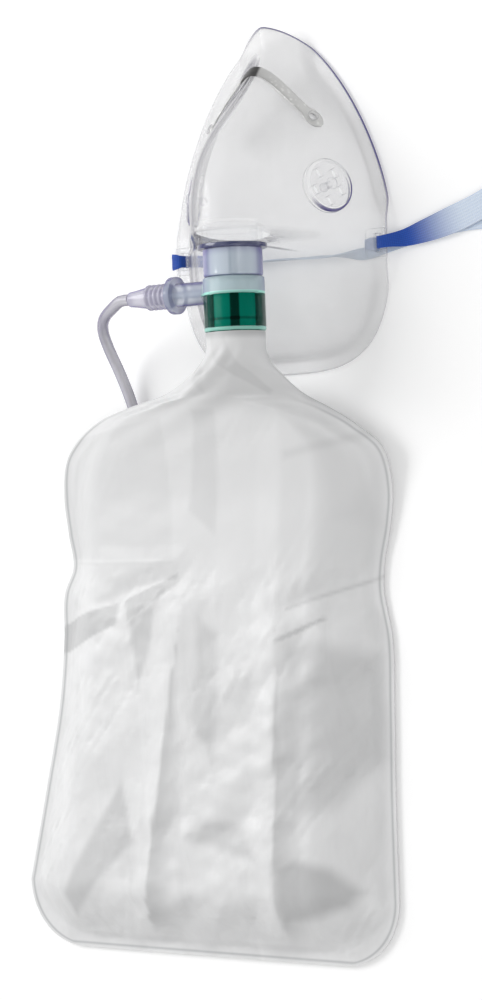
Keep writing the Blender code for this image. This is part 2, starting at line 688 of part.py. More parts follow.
def inlet_cuff(finish):
    """A ribbed soft cuff that grips the barb and holds the tube's end in its tapered tip."""
    grip = INLET_BARB_OD / 2 + GAP
    outside = CUFF_OD / 2
    depth = INLET_BARB_LENGTH + 0.3 * MM
    pitch = 0.55 * CUFF_LENGTH / CUFF_RIBS
    profile = [(0, depth), (grip, depth), (grip, 0), (outside - 0.6 * MM, 0)]
    for rib in range(CUFF_RIBS):
        start = 0.5 * MM + rib * pitch
        profile += [(outside - 0.8 * MM, start), (outside, start + 0.4 * MM)]
        profile += [(outside, start + 0.6 * pitch), (outside - 0.8 * MM, start + 0.75 * pitch)]
    neck = 0.62 * CUFF_LENGTH
    profile += [(outside - 0.9 * MM, neck), (CUFF_TIP_OD / 2, CUFF_LENGTH - 3 * MM)]
    profile += [(CUFF_TIP_OD / 2 - 0.4 * MM, CUFF_LENGTH), (0, CUFF_LENGTH)]
    cuff = turned("inlet_cuff", profile[1:] + profile[:1], finish, None, 16)
    face_along(cuff, Vector((CUFF_START_X, INLET_Y, AXIS_Z)), Vector((-1, 0, 0)))
    return cuff


def outlet_cuff(finish):
    """The flared connector on the tubing's far end, open to take a supply nozzle."""
    bore = OUTLET_BORE / 2
    outside = OUTLET_OD / 2
    end = OUTLET_LENGTH
    profile = [
        (0, 0),
        (TUBE_OD / 2 + 0.9 * MM, 0),
        (TUBE_OD / 2 + 1.3 * MM, 0.3 * end),
        (outside - 1.2 * MM, 0.45 * end),
        (outside - 0.6 * MM, end - 6 * MM),
        (outside, end - 5 * MM),
        (outside, end),
        (bore, end),
        (bore, end - OUTLET_BORE_LENGTH),
        (0, end - OUTLET_BORE_LENGTH),
    ]
    cuff = turned("outlet_cuff", profile, finish, None, 20)
    x, y, z = TAIL_ROUTE[-1]
    face_along(cuff, Vector((x, y - GAP, z)), Vector((0, -1, 0)))
    return cuff


def tube_coil(finish):
    """The closed outer shape of the coiled length: a flat turned ring on the table."""
    inside = COIL_RADIUS - COIL_TURNS_WIDE * TUBE_OD
    top = COIL_TURNS_HIGH * TUBE_OD
    round_off = 0.25 * TUBE_OD
    profile = [
        (inside + round_off, 0.1 * MM),
        (COIL_RADIUS - round_off, 0.1 * MM),
        (COIL_RADIUS, round_off),
        (COIL_RADIUS, top - round_off),
        (COIL_RADIUS - round_off, top),
        (inside + round_off, top),
        (inside, top - round_off),
        (inside, round_off),
    ]
    ring = turned("oxygen_tube_coil", profile, finish, None, ROUND_SEGMENTS)
    ring.location = (*COIL_CENTRE, 0)
    return ring


# Head strap: x, y, z, width and roll of its section in degrees, in millimetres, by hand

ON_TOP = CHEEK_ARCH + FLANGE_THICKNESS + EYELET_HEIGHT + GAP + STRAP_THICKNESS / 2
STRAP_ROUTE = [
    (35.8 * MM, EYELET_Y, 2.2 * MM, 3.4 * MM, 0),
    (37.6 * MM, EYELET_Y, 1.8 * MM, STRAP_GATHERED, 0),
    (40.4 * MM, EYELET_Y, 1.75 * MM, STRAP_GATHERED, 0),
    (SLOT_X - 0.2 * MM, EYELET_Y, 2.6 * MM, STRAP_GATHERED, 0),
    (SLOT_X, EYELET_Y, 4.2 * MM, STRAP_GATHERED, 0),
    (SLOT_X + 0.6 * MM, EYELET_Y, ON_TOP - 0.3 * MM, STRAP_GATHERED, 0),
    (SLOT_X + 2.2 * MM, EYELET_Y, ON_TOP + 0.2 * MM, STRAP_GATHERED, 0),
    (47 * MM, 46.8 * MM, 5.2 * MM, 4.9 * MM, 0),
    (51.4 * MM, 47.4 * MM, 2.4 * MM, 6.2 * MM, 0),
    (60 * MM, 49.3 * MM, 1.75 * MM, 8.4 * MM, 0),
    (70 * MM, 52 * MM, 1.7 * MM, STRAP_WIDTH, 0),
    (84 * MM, 57 * MM, 1.7 * MM, STRAP_WIDTH, 0),
    (101 * MM, 67 * MM, 0.9 * MM, STRAP_WIDTH, 0),
    (118 * MM, 80 * MM, 0.5 * MM, STRAP_WIDTH, 0),
    (139 * MM, 92 * MM, 0.5 * MM, STRAP_WIDTH, 0),
    (162 * MM, 92 * MM, 0.5 * MM, STRAP_WIDTH, 0),
    (177 * MM, 75 * MM, 0.5 * MM, STRAP_WIDTH, 0),
    (174 * MM, 52 * MM, 0.5 * MM, STRAP_WIDTH, 0),
    (156 * MM, 38 * MM, 0.5 * MM, STRAP_WIDTH, 0),
    (130 * MM, 39 * MM, 0.5 * MM, STRAP_WIDTH, 0),
    (104 * MM, 47.5 * MM, 0.5 * MM, STRAP_WIDTH, 0),
    (84 * MM, 52.5 * MM, 0.5 * MM, 9 * MM, 0),
    (70 * MM, 51.2 * MM, 0.5 * MM, 7.6 * MM, 0),
    (58 * MM, 48.6 * MM, 0.5 * MM, 6 * MM, 0),
    (49 * MM, 46.2 * MM, 0.5 * MM, 4.8 * MM, 0),
    (43 * MM, 44.8 * MM, 0.5 * MM, STRAP_GATHERED, 0),
    (38 * MM, 43.6 * MM, 0.6 * MM, STRAP_GATHERED, 0),
    (34 * MM, 43.1 * MM, 1.7 * MM, STRAP_GATHERED, 22),
    (30 * MM, 43 * MM, 2.6 * MM, STRAP_GATHERED, 60),
    (24 * MM, 43.2 * MM, 2.7 * MM, STRAP_GATHERED, 90),
    (0, 43.8 * MM, 2.7 * MM, STRAP_GATHERED, 90),
    (-24 * MM, 44.4 * MM, 2.7 * MM, STRAP_GATHERED, 90),
    (-30 * MM, 45.2 * MM, 2.6 * MM, STRAP_GATHERED, 60),
    (-34 * MM, 45.9 * MM, 1.9 * MM, STRAP_GATHERED, 22),
    (-37.4 * MM, 46.4 * MM, 1.6 * MM, STRAP_GATHERED, 0),
    (-40.4 * MM, EYELET_Y, 1.75 * MM, STRAP_GATHERED, 0),
    (-SLOT_X + 0.2 * MM, EYELET_Y, 2.6 * MM, STRAP_GATHERED, 0),
    (-SLOT_X, EYELET_Y, 4.2 * MM, STRAP_GATHERED, 0),
    (-SLOT_X - 0.6 * MM, EYELET_Y, ON_TOP - 0.3 * MM, STRAP_GATHERED, 0),
    (-SLOT_X - 2.2 * MM, EYELET_Y, ON_TOP + 0.2 * MM, 5.6 * MM, 0),
    (-SLOT_X - 4.6 * MM, EYELET_Y, ON_TOP - 0.3 * MM, 6.4 * MM, 0),
]
STRAP_STEPS = 2


def head_strap(finish):
    """A flat ribbon swept along the route, its width direction level and turned by the roll."""
    rows = through(STRAP_ROUTE, STRAP_STEPS)
    spine = rows[:, :3]
    forward = np.gradient(spine, axis=0)
    forward /= np.linalg.norm(forward, axis=1, keepdims=True)
    level = np.cross(forward, (0, 0, 1))
    level /= np.linalg.norm(level, axis=1, keepdims=True)
    upright = np.cross(level, forward)
    roll = np.radians(rows[:, 4:5])
    wide = level * np.cos(roll) + upright * np.sin(roll)
    thin = upright * np.cos(roll) - level * np.sin(roll)
    half = rows[:, 3:4] / 2
    rise = STRAP_THICKNESS / 2
    corners = ((-1, -1), (-1, 1), (1, 1), (1, -1))
    loops = np.stack([spine + u * half * wide + v * rise * thin for u, v in corners], axis=1)
    points, faces = closed_loft(list(loops))
    return add_mesh("head_strap", points, faces, finish)


# Reservoir bag

NECK_TOP_Y = TEE_BOTTOM - GAP
NECK_RADIUS = ADAPTER_RADIUS + GAP + BAG_NECK_WALL
# Stations down the bag: y, left edge, right edge, height of the edges, roundness of the section
BAG_STATIONS = [
    (NECK_TOP_Y, -NECK_RADIUS, NECK_RADIUS, AXIS_Z, 1.0),
    (NECK_TOP_Y - 6 * MM, -NECK_RADIUS, NECK_RADIUS, AXIS_Z - 0.2 * MM, 1.0),
    (3.5 * MM, -17 * MM, 11.5 * MM, 35 * MM, 0.72),
    (-1 * MM, -28 * MM, 12.5 * MM, 28 * MM, 0.45),
    (-5 * MM, -40 * MM, 14 * MM, 22 * MM, 0.3),
    (-9 * MM, -60 * MM, 17 * MM, 16.5 * MM, 0.2),
    (-13.5 * MM, -77.5 * MM, 24 * MM, 13 * MM, 0.13),
    (-20.5 * MM, -90.5 * MM, 34 * MM, 10 * MM, 0.08),
    (-30 * MM, -99.6 * MM, 43 * MM, 6.5 * MM, 0.04),
    (-44 * MM, -103.5 * MM, 44.2 * MM, 3 * MM, 0.0),
    (-58 * MM, -103 * MM, 42.2 * MM, 1.6 * MM, 0.0),
    (-72 * MM, -101.8 * MM, 38.8 * MM, 1 * MM, 0.0),
    (-81 * MM, -106.2 * MM, 38 * MM, 0.8 * MM, 0.0),
    (-100 * MM, -107.6 * MM, 40.8 * MM, 0.8 * MM, 0.0),
    (-124 * MM, -110.6 * MM, 40.6 * MM, 0.8 * MM, 0.0),
    (-160 * MM, -119 * MM, 39.7 * MM, 0.8 * MM, 0.0),
    (-198 * MM, -128.6 * MM, 39.5 * MM, 0.8 * MM, 0.0),
]
CORNER_RADIUS = 24 * MM
CORNER_STEPS = 5
BAG_ROW_COUNT = 33
UPPER_COLUMNS = 24
UNDER_COLUMNS = 12
# Lengthwise folds of the upper film, as rows of y, x and rise
LENGTHWISE_FOLDS = [
    [
        (-4 * MM, 8.6 * MM, 0.3 * MM),
        (-30 * MM, 7 * MM, 0.7 * MM),
        (-74 * MM, 3 * MM, 1 * MM),
        (-99 * MM, 0.5 * MM, 1.3 * MM),
        (-160 * MM, -2 * MM, 1.9 * MM),
        (-212 * MM, -4.5 * MM, 1.5 * MM),
        (-221 * MM, -5 * MM, 0),
    ],
    [
        (-74 * MM, -36.4 * MM, 0),
        (-84 * MM, -38.4 * MM, 1.2 * MM),
        (-115 * MM, -45.4 * MM, 1.6 * MM),
        (-142 * MM, -49.9 * MM, 1.8 * MM),
        (-212 * MM, -64 * MM, 1.5 * MM),
        (-221 * MM, -66 * MM, 0),
    ],
]
# Folds across it: start, end, half width and rise, a valley's rise being negative
CROSS_FOLDS = [
    ((-94 * MM, -70 * MM), (-42 * MM, -70 * MM), 7 * MM, 0.8 * MM),
    ((-98 * MM, -89 * MM), (-42 * MM, -75 * MM), 7 * MM, -1.5 * MM),
    ((4 * MM, -87 * MM), (38 * MM, -76 * MM), 7 * MM, -1.3 * MM),
]


def bag_rows():
    """Stations read as smooth rows, with the two rounded bottom corners added as an arc."""
    rows = smooth_route(BAG_STATIONS, BAG_ROW_COUNT)
    last = rows[-1]
    start_y = last[0]
    drop = start_y - BAG_BOTTOM_Y
    corners = []
    for step in range(1, CORNER_STEPS + 1):
        angle = 0.5 * math.pi * step / CORNER_STEPS * 0.97
        inward = CORNER_RADIUS * (1 - math.cos(angle))
        y = start_y - drop * math.sin(angle) / math.sin(0.485 * math.pi)
        corners.append((y, last[1] + inward, last[2] - inward, last[3], last[4] * math.cos(angle)))
    return np.concatenate([rows, corners])


def fold_height(x, y):
    """Folds of the upper film: each is a tent over its line, rise (1 - distance / half width)."""
    height = np.zeros(x.shape)
    for rows in LENGTHWISE_FOLDS:
        line_y, line_x, rise = np.array(rows[::-1]).T
        tent = np.clip(1 - np.abs(x - np.interp(y, line_y, line_x)) / FOLD_HALF_WIDTH, 0, 1)
        height += np.interp(y, line_y, rise, 0, 0) * tent
    for start, end, half, rise in CROSS_FOLDS:
        run_x, run_y = np.subtract(end, start)
        share = ((x - start[0]) * run_x + (y - start[1]) * run_y) / (run_x**2 + run_y**2)
        share = np.clip(share, 0, 1)
        away = np.hypot(x - start[0] - share * run_x, y - start[1] - share * run_y)
        height += rise * np.clip(1 - away / half, 0, 1)
    return height


def crumple_height(x, y, seed, pitches, depth):
    """Straight folds in chance directions: a sum of triangle waves, each bent by those before it."""
    chance = np.random.default_rng(seed)
    height = np.zeros(x.shape)
    bend = np.zeros(x.shape)
    for pitch in pitches:
        way = chance.uniform(0, math.pi)
        shift = chance.uniform(0, 1)
        run = (x * math.cos(way) + y * math.sin(way) + 2.5 * bend) / pitch + shift
        wave = np.abs((run % 1) * 2 - 1) - 0.5
        height += depth * wave * pitch / pitches[0]
        bend += 0.3 * depth * wave
    return height


def film_height(x, y):
    """Folds, and the crumples of the film below its cross folds, which fade out above them."""
    crumpled = 0.2 + 0.8 * smooth((-60 * MM - y) / (25 * MM))
    return fold_height(x, y) + crumpled * crumple_height(x, y, 7, CRUMPLE_PITCHES, CRUMPLE_DEPTH)


def bag_section():
    """Place across, -1 to 1, of each point of a loop: over the upper film, then back under it."""
    spans = []
    for columns, way in ((UPPER_COLUMNS, 1), (UNDER_COLUMNS, -1)):
        share = np.linspace(0, 1, columns + 1)
        spans.append(way * (0.5 * np.cos(math.pi * share) + 0.5 - share))
    upper = np.arange(UPPER_COLUMNS + UNDER_COLUMNS + 2) <= UPPER_COLUMNS
    return 0.997 * np.concatenate(spans), upper


def bag_loops():
    """Cross loops of the bag: a round neck that flattens to a pouch lifted over the coil."""
    loops = []
    span, upper = bag_section()
    bulge = np.sqrt(1 - span**2)
    for y, left, right, edge_z, roundness in bag_rows():
        half = (right - left) / 2
        x = (left + right) / 2 + half * span
        along = np.full_like(x, y)
        end_share = smooth((y - BAG_BOTTOM_Y) / BAG_END_TAPER)
        flat = 1 - roundness
        lift = BAG_LIFT * smooth((1 - np.abs(span)) / 0.32) * end_share
        base = np.maximum(edge_z, lift) * flat + edge_z * (1 - flat)
        high = half * roundness * bulge
        pouch = flat * (BAG_SEAM / 2 + BAG_HALF_THICKNESS * (0.25 + 0.75 * end_share) * bulge**1.4)
        film = film_height(x, along) * flat * smooth(3 * bulge - 0.2)
        z = np.where(upper, base + 2 * pouch + high + film, base - high)
        z = np.maximum(z, 0.3 * MM)
        loops.append(np.stack([x, along, z], axis=1))
    return loops


def reservoir_bag(finish, airway):
    points, faces = closed_loft(bag_loops())
    bag = add_mesh("reservoir_bag", points, faces, finish)
    low = ADAPTER_BOTTOM - 1.5 * MM
    socket = cylinder("neck_socket", ADAPTER_RADIUS + GAP, low, NECK_TOP_Y + SMALL_CUT, finish, airway)
    combine(bag, socket, "DIFFERENCE")
    return bag


def clear_scene():
    for old in list(bpy.data.objects):
        bpy.data.objects.remove(old, do_unlink=True)


def main():
    clear_scene()
    carrier = bpy.data.objects.new(CARRIER, None)
    carrier.location = (0, CHIN_EDGE_Y, 0)
    bpy.context.scene.collection.objects.link(carrier)
    airway = place_in_part(bpy.data.objects.new("airway_axis", None))
    airway.location = (0, 0, AXIS_Z)
    airway.rotation_euler = (-math.pi / 2, 0, 0)
    clear_vinyl = material("clear_vinyl", (0.86, 0.87, 0.89), 0.12)
    blue_plastic = material("pale_blue_plastic", (0.62, 0.68, 0.80), 0.15)
    cyan_plastic = material("cyan_clear_plastic", (0.66, 0.78, 0.82), 0.12)
    green_plastic = material("green_plastic", (0.0, 0.22, 0.14), 0.15)
    silicone = material("clear_silicone", (0.84, 0.84, 0.86), 0.3)
    film = material("bag_film", (0.80, 0.81, 0.81), 0.3)
    metal = material("soft_aluminium", (0.72, 0.72, 0.70), 0.4, 1.0)
    tubing = material("tube_vinyl", (0.70, 0.69, 0.74), 0.2)
    cuff = material("cuff_vinyl", (0.70, 0.68, 0.80), 0.3)
    elastic = material("blue_elastic", (0.02, 0.10, 0.45), 0.6)
    mask_shell(clear_vinyl, airway)
    nose_clip(metal)
    exhale_valve(-1, "left", silicone)
    exhale_valve(1, "right", silicone)
    mask_connector(blue_plastic, airway)
    oxygen_tee(cyan_plastic, airway)
    bag_valve_disc(silicone, airway)
    bag_adapter(green_plastic, airway)
    reservoir_bag(film, airway)
    inlet_cuff(cuff)
    tube("oxygen_tube_lead", LEAD_ROUTE, LEAD_ROW_COUNT, tubing)
    tube_coil(tubing)
    tube("oxygen_tube_tail", TAIL_ROUTE, TAIL_ROW_COUNT, tubing)
    outlet_cuff(cuff)
    head_strap(elastic)


main()
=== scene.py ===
"""Looks of the oxygen face mask with its reservoir bag, tubing and head strap.

Shapes are worked out in the part's own layout, whose y = 0 is the chin's outer edge, and every
mesh is moved by ROW_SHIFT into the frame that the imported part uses. Lengths are in metres.
"""

import math

import bmesh
import bpy
import numpy as np
from mathutils import Matrix, Vector


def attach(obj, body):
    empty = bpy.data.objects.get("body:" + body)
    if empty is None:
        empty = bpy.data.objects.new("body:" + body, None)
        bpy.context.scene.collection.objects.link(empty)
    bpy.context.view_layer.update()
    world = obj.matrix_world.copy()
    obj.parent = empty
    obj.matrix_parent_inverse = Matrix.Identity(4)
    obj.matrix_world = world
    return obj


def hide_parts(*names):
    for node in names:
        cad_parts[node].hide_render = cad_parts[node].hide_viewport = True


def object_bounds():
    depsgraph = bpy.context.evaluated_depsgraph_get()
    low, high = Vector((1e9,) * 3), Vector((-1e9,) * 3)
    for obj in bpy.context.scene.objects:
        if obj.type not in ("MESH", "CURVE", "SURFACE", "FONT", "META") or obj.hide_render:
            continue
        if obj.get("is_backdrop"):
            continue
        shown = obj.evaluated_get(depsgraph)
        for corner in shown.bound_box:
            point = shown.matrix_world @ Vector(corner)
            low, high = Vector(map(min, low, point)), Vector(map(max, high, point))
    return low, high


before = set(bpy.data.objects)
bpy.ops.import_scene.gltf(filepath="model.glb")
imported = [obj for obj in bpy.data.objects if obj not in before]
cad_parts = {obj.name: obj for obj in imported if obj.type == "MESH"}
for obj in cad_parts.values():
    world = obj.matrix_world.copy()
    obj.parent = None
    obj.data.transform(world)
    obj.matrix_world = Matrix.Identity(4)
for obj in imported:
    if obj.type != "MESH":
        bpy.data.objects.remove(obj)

CAD_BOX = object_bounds()

MM = 0.001
GAP = 0.3 * MM
ROW_SHIFT = np.array([0, -3 * MM, 0])

# Mask shell
MASK_LENGTH = 131 * MM
MASK_HALF_WIDTH = 45.8 * MM
WIDEST_Y = 60.7 * MM
CHIN_ROUNDNESS = 3.3
NOSE_TAPER = 1.42
NOSE_ROUNDNESS = 0.594
FLANGE_WIDTH = 5 * MM
FLANGE_THICKNESS = 1.4 * MM
WALL = 1.2 * MM
NOSE_RISE = 10 * MM
NOSE_RISE_START = 95 * MM
NOSE_FOLD_HALF_WIDTH = 14 * MM
NOSE_FOLD_RADIUS = 1.5 * MM
RIDGE_START_Y = 78 * MM
CHEEK_ARCH = 2.6 * MM
BULGE_HEIGHT = 52.5 * MM
BULGE_FULL_Y = 56 * MM
BULGE_END_INSET = 6 * MM
CHIN_HEIGHT = 21 * MM
CHIN_FULL_Y = 40 * MM
SHELF_Y = 47.6 * MM
SHELF_DEPTH = 4 * MM
CHIN_CORNER_X = 24 * MM
NOSE_CORNER_X = 14 * MM
CHIN_BLEND_Y = SHELF_Y - 3 * MM
NOSE_BLEND_Y = SHELF_Y + SHELF_DEPTH + 4 * MM
SKIN_COLUMNS = 84
SKIN_ROWS = (34, 30, 52)

# Breathing connector
AXIS_Z = 38.5 * MM
# As far round the airway's axis from the top as the camera: a dark band here is a painted reflection
RIB_AND_REFLECTION_ANGLE = math.radians(30.76)
CONNECTOR_OD = 22 * MM
CONNECTOR_WALL = 1.6 * MM
SLEEVE_LENGTH = 11.8 * MM
SLEEVE_FLANGE_OD = 25.6 * MM
SLEEVE_FLANGE_LENGTH = 1.6 * MM
SNAP_LIP_OD = 24.4 * MM
SEAT_RING_OD = 27.4 * MM
SEAT_RING_LENGTH = 5 * MM
TEE_OD = 22.8 * MM
TEE_WALL = 1.3 * MM
TEE_LENGTH = 19.8 * MM
SPIGOT_LENGTH = 9 * MM
VALVE_SEAT_LENGTH = 1.4 * MM
VALVE_DISC_THICKNESS = 0.5 * MM
ADAPTER_WALL = 1.4 * MM
ADAPTER_INSERT_LENGTH = 13.8 * MM
ADAPTER_TAIL_LENGTH = 7 * MM
SEAT_START = SHELF_Y - 0.4 * MM
SLEEVE_TOP = SEAT_START - GAP
SLEEVE_FLANGE_Y = SLEEVE_TOP - SLEEVE_FLANGE_LENGTH
SLEEVE_BOTTOM = SLEEVE_TOP - SLEEVE_LENGTH
TEE_TOP = SLEEVE_BOTTOM - GAP
TEE_BOTTOM = TEE_TOP - TEE_LENGTH
SLEEVE_BORE = CONNECTOR_OD / 2 - CONNECTOR_WALL
SPIGOT_RADIUS = SLEEVE_BORE - GAP
TEE_BORE = TEE_OD / 2 - TEE_WALL
ADAPTER_TOP = TEE_BOTTOM + ADAPTER_INSERT_LENGTH
ADAPTER_BOTTOM = TEE_BOTTOM - ADAPTER_TAIL_LENGTH
ADAPTER_RADIUS = TEE_BORE - GAP
AXIS_BASE = np.array([0, 0, AXIS_Z])
AXIS_WAY = np.array([0.0, 1.0, 0.0])

# Oxygen inlet and tubing
INLET_DROP = 4.7 * MM
INLET_OD = 8.8 * MM
INLET_BORE = 2.8 * MM
INLET_LENGTH = 26.2 * MM
INLET_BARB_OD = 5.2 * MM
INLET_FLANGE_OD = 14 * MM
INLET_FLANGE_LENGTH = 2.4 * MM
INLET_BARB_LENGTH = 11 * MM
INLET_Y = TEE_TOP - INLET_DROP
INLET_BASE = np.array([0, INLET_Y, AXIS_Z])
INLET_WAY = np.array([-1.0, 0.0, 0.0])
TUBE_OD = 4.4 * MM
CUFF_OD = 9.6 * MM
CUFF_LENGTH = 18.5 * MM
CUFF_TIP_OD = 6.4 * MM
CUFF_RIBS = 5
OUTLET_LENGTH = 38 * MM
OUTLET_OD = 11.2 * MM
OUTLET_BORE = 6.8 * MM
OUTLET_BORE_LENGTH = 20 * MM
COIL_MID_DIAMETER = 50 * MM
COIL_TURNS_WIDE = 6
COIL_FULL_TURNS = 11
COIL_PITCH = 4.2 * MM
COIL_CENTRE = np.array([-25 * MM, -95 * MM])
INLET_END_X = -(TEE_OD / 2 + INLET_LENGTH)
CUFF_START_X = INLET_END_X + INLET_BARB_LENGTH - GAP
CUFF_END_X = CUFF_START_X - CUFF_LENGTH
TUBE_Z = TUBE_OD / 2 + 0.1 * MM
COIL_OUTER_TURN = (COIL_MID_DIAMETER + (COIL_TURNS_WIDE - 1) * TUBE_OD) / 2

# Exhalation valves
PORT_X = 0.635 * MASK_HALF_WIDTH
PORT_Y = 68 * MM
PORT_SEAT_OD = 20 * MM
PORT_SEAT_PROUD = 0.9 * MM
PORT_SEAT_DEPTH = 2.4 * MM
PORT_HOLES = 5
PORT_HOLE_OD = 3.8 * MM
PORT_HOLE_CIRCLE = 11.6 * MM
PORT_DRILLED = (-8 * MM, 4 * MM)
VALVE_OD = 17.6 * MM
VALVE_THICKNESS = 0.8 * MM
VALVE_STEM_OD = 2.2 * MM
VALVE_KNOB_OD = 4.4 * MM

# Nose clip
CLIP_WIDTH = 5 * MM
CLIP_THICKNESS = 0.8 * MM
CLIP_TOP_Y = MASK_LENGTH - 18.5 * MM
CLIP_REACH = 24 * MM
CLIP_SWEEP = 22 * MM
CLIP_LOBE_OD = 7.4 * MM
CLIP_HOLE_OD = 3 * MM
CLIP_CLEARANCE = 0.35 * MM
CLIP_SLOPE_LENGTH = 1.25
STUD_OD = 2.2 * MM
STUD_HEAD_OD = 4 * MM
STUD_HEAD_HEIGHT = 0.8 * MM

# Eyelets and strap
EYELET_Y = 46.5 * MM
EYELET_LENGTH = 10.5 * MM
EYELET_WIDTH = 8 * MM
EYELET_HEIGHT = 1.2 * MM
SLOT_LENGTH = 6.8 * MM
SLOT_WIDTH = 2.4 * MM
SLOT_X = MASK_HALF_WIDTH - 3.6 * MM
STRAP_WIDTH = 10 * MM
STRAP_THICKNESS = 0.8 * MM
STRAP_GATHERED = 4.6 * MM

# Reservoir bag
BAG_BOTTOM_Y = -223.8 * MM
BAG_LIFT = 12 * MM
BAG_LIFT_SHARE = 0.36
BAG_FLOOR = 0.3 * MM
WELD_WIDTH = 1.6 * MM
BAG_HALF_THICKNESS = 3.6 * MM
BAG_SEAM = 0.9 * MM
BAG_END_TAPER = 30 * MM
BAG_NECK_WALL = 0.9 * MM
FOLD_HALF_WIDTH = 10 * MM
CRUMPLE_PITCHES = (34 * MM, 26 * MM, 21 * MM)
CRUMPLE_DEPTH = 0.75 * MM
WRINKLE_PITCHES = (23 * MM, 16 * MM, 11 * MM, 8 * MM)
WRINKLE_DEPTH = 1 * MM
PATCH_PITCHES = (95 * MM, 62 * MM, 44 * MM)
WEDGE_WIDTH = 14 * MM
GATHER_DEPTH = 0.35 * MM
GATHERS = 11
NECK_TOP_Y = TEE_BOTTOM - GAP
NECK_RADIUS = ADAPTER_RADIUS + GAP + BAG_NECK_WALL


def in_mm(rows, plain=0):
    """Rows given in millimetres, but for their last plain columns, which aren't lengths."""
    made = np.array(rows, float)
    made[:, : made.shape[1] - plain] *= MM
    return made


def smooth(t):
    """Rises from 0 to 1 with level ends."""
    t = np.clip(t, 0.0, 1.0)
    return t * t * (3 - 2 * t)


# Camera

VIEW_TURN = math.radians(30.76)


def add_camera():
    """Looks down from VIEW_TURN round the object's long axis, and leans a little sideways."""
    turn = VIEW_TURN
    lean = math.radians(2.16)
    distance = 0.9
    pixel = 0.3859 * MM
    photo_height = 1000
    aim = Vector((-23.29 * MM, -46.77 * MM, 0)) + Vector(ROW_SHIFT)
    back = Vector((math.sin(turn), 0, math.cos(turn)))
    level = Vector((math.cos(turn), 0, -math.sin(turn)))
    ahead = Vector((0, 1, 0))
    right = level * math.cos(lean) - ahead * math.sin(lean)
    up = ahead * math.cos(lean) + level * math.sin(lean)
    data = bpy.data.cameras.new("photo_camera")
    data.sensor_width = 36
    data.lens = distance / pixel * data.sensor_width / photo_height
    data.clip_end = 20
    camera = bpy.data.objects.new("photo_camera", data)
    turned_axes = Matrix((right, up, back)).transposed().to_4x4()
    camera.matrix_world = Matrix.Translation(aim + back * distance) @ turned_axes
    bpy.context.scene.collection.objects.link(camera)
    bpy.context.scene.camera = camera


# Shader maths


class Value:
    """A node's output. Arithmetic on it adds Math nodes to the same finish."""

    def __init__(self, finish, socket):
        self.finish = finish
        self.socket = socket

    def math(self, operation, *values, clamp=False):
        settings = {"operation": operation, "use_clamp": clamp}
        return self.finish.node("ShaderNodeMath", settings, dict(enumerate(values)))

    def __add__(self, other):
        return self.math("ADD", self, other)

    def __sub__(self, other):
        return self.math("SUBTRACT", self, other)

    def __rsub__(self, other):
        return self.math("SUBTRACT", other, self)

    def __mul__(self, other):
        return self.math("MULTIPLY", self, other)

    def __pow__(self, other):
        return self.math("POWER", self, other)

    __radd__ = __add__
    __rmul__ = __mul__

    def clamped(self):
        return self.math("ADD", self, 0.0, clamp=True)

    def absolute(self):
        return self.math("ABSOLUTE", self)

    def rise(self, low, high):
        """0 below low and 1 above high, smooth between."""
        ends = {"From Min": low, "From Max": high, "Value": self}
        settings = {"interpolation_type": "SMOOTHSTEP"}
        return self.finish.node("ShaderNodeMapRange", settings, ends)

    def between(self, low, full, leave, high):
        """1 from full to leave and 0 outside low and high, smooth between."""
        return self.rise(low, full) * (1 - self.rise(leave, high))


class Finish:
    """A material, or the world's background, and short ways to add its nodes."""

    def __init__(self, name, world=None):
        self.made = world or bpy.data.materials.new(name)
        self.made.use_nodes = True
        self.tree = self.made.node_tree
        self.tree.nodes.clear()
        kind = "ShaderNodeOutputWorld" if world else "ShaderNodeOutputMaterial"
        self.output = self.tree.nodes.new(kind)

    def node(self, kind, settings=None, inputs=None, output=0):
        made = self.tree.nodes.new(kind)
        for key, setting in (settings or {}).items():
            setattr(made, key, setting)
        for key, value in (inputs or {}).items():
            if isinstance(value, Value):
                self.tree.links.new(value.socket, made.inputs[key])
            else:
                made.inputs[key].default_value = value
        return Value(self, made.outputs[output])

    def place(self):
        return self.node("ShaderNodeTexCoord", output="Object")

    def attribute(self, name):
        return self.node("ShaderNodeAttribute", {"attribute_name": name}, output="Fac")

    def along(self, axis):
        """Layout coordinate of the point along X, Y or Z."""
        parts = self.node("ShaderNodeSeparateXYZ", None, {"Vector": self.place()}, output=axis)
        return parts - float(ROW_SHIFT["XYZ".index(axis)])

    def stretched(self, scale, turn):
        inputs = {"Vector": self.place(), "Scale": scale, "Rotation": turn}
        return self.node("ShaderNodeMapping", None, inputs)

    def noise(self, scale, detail=3.0, roughness=0.5, vector=None, distortion=0.0):
        inputs = {"Vector": vector or self.place(), "Scale": scale, "Detail": detail}
        inputs["Roughness"] = roughness
        inputs["Distortion"] = distortion
        return self.node("ShaderNodeTexNoise", None, inputs)

    def mix(self, factor, low, high):
        """A colour between low and high. The node keeps the factor between 0 and 1."""
        colors = {0: factor, 6: self.color(low), 7: self.color(high)}
        return self.node("ShaderNodeMix", {"data_type": "RGBA"}, colors, output=2)

    def color(self, value):
        return value if isinstance(value, Value) else (*value, 1)

    def facing(self):
        """0 where the surface faces the eye and 1 at its silhouette."""
        return self.node("ShaderNodeLayerWeight", None, {"Blend": 0.5}, output="Facing")

    def bump(self, height, depth, strength):
        inputs = {"Height": height, "Distance": depth, "Strength": strength}
        return self.node("ShaderNodeBump", None, inputs)

    def shader(self, base, roughness, **others):
        inputs = {"Base Color": self.color(base), "Roughness": roughness}
        inputs.update({key.replace("_", " "): value for key, value in others.items()})
        return self.node("ShaderNodeBsdfPrincipled", None, inputs)

    def surface(self, base, roughness, **others):
        return self.finish(self.shader(base, roughness, **others))

    def finish(self, shader):
        self.tree.links.new(shader.socket, self.output.inputs["Surface"])
        return self.made


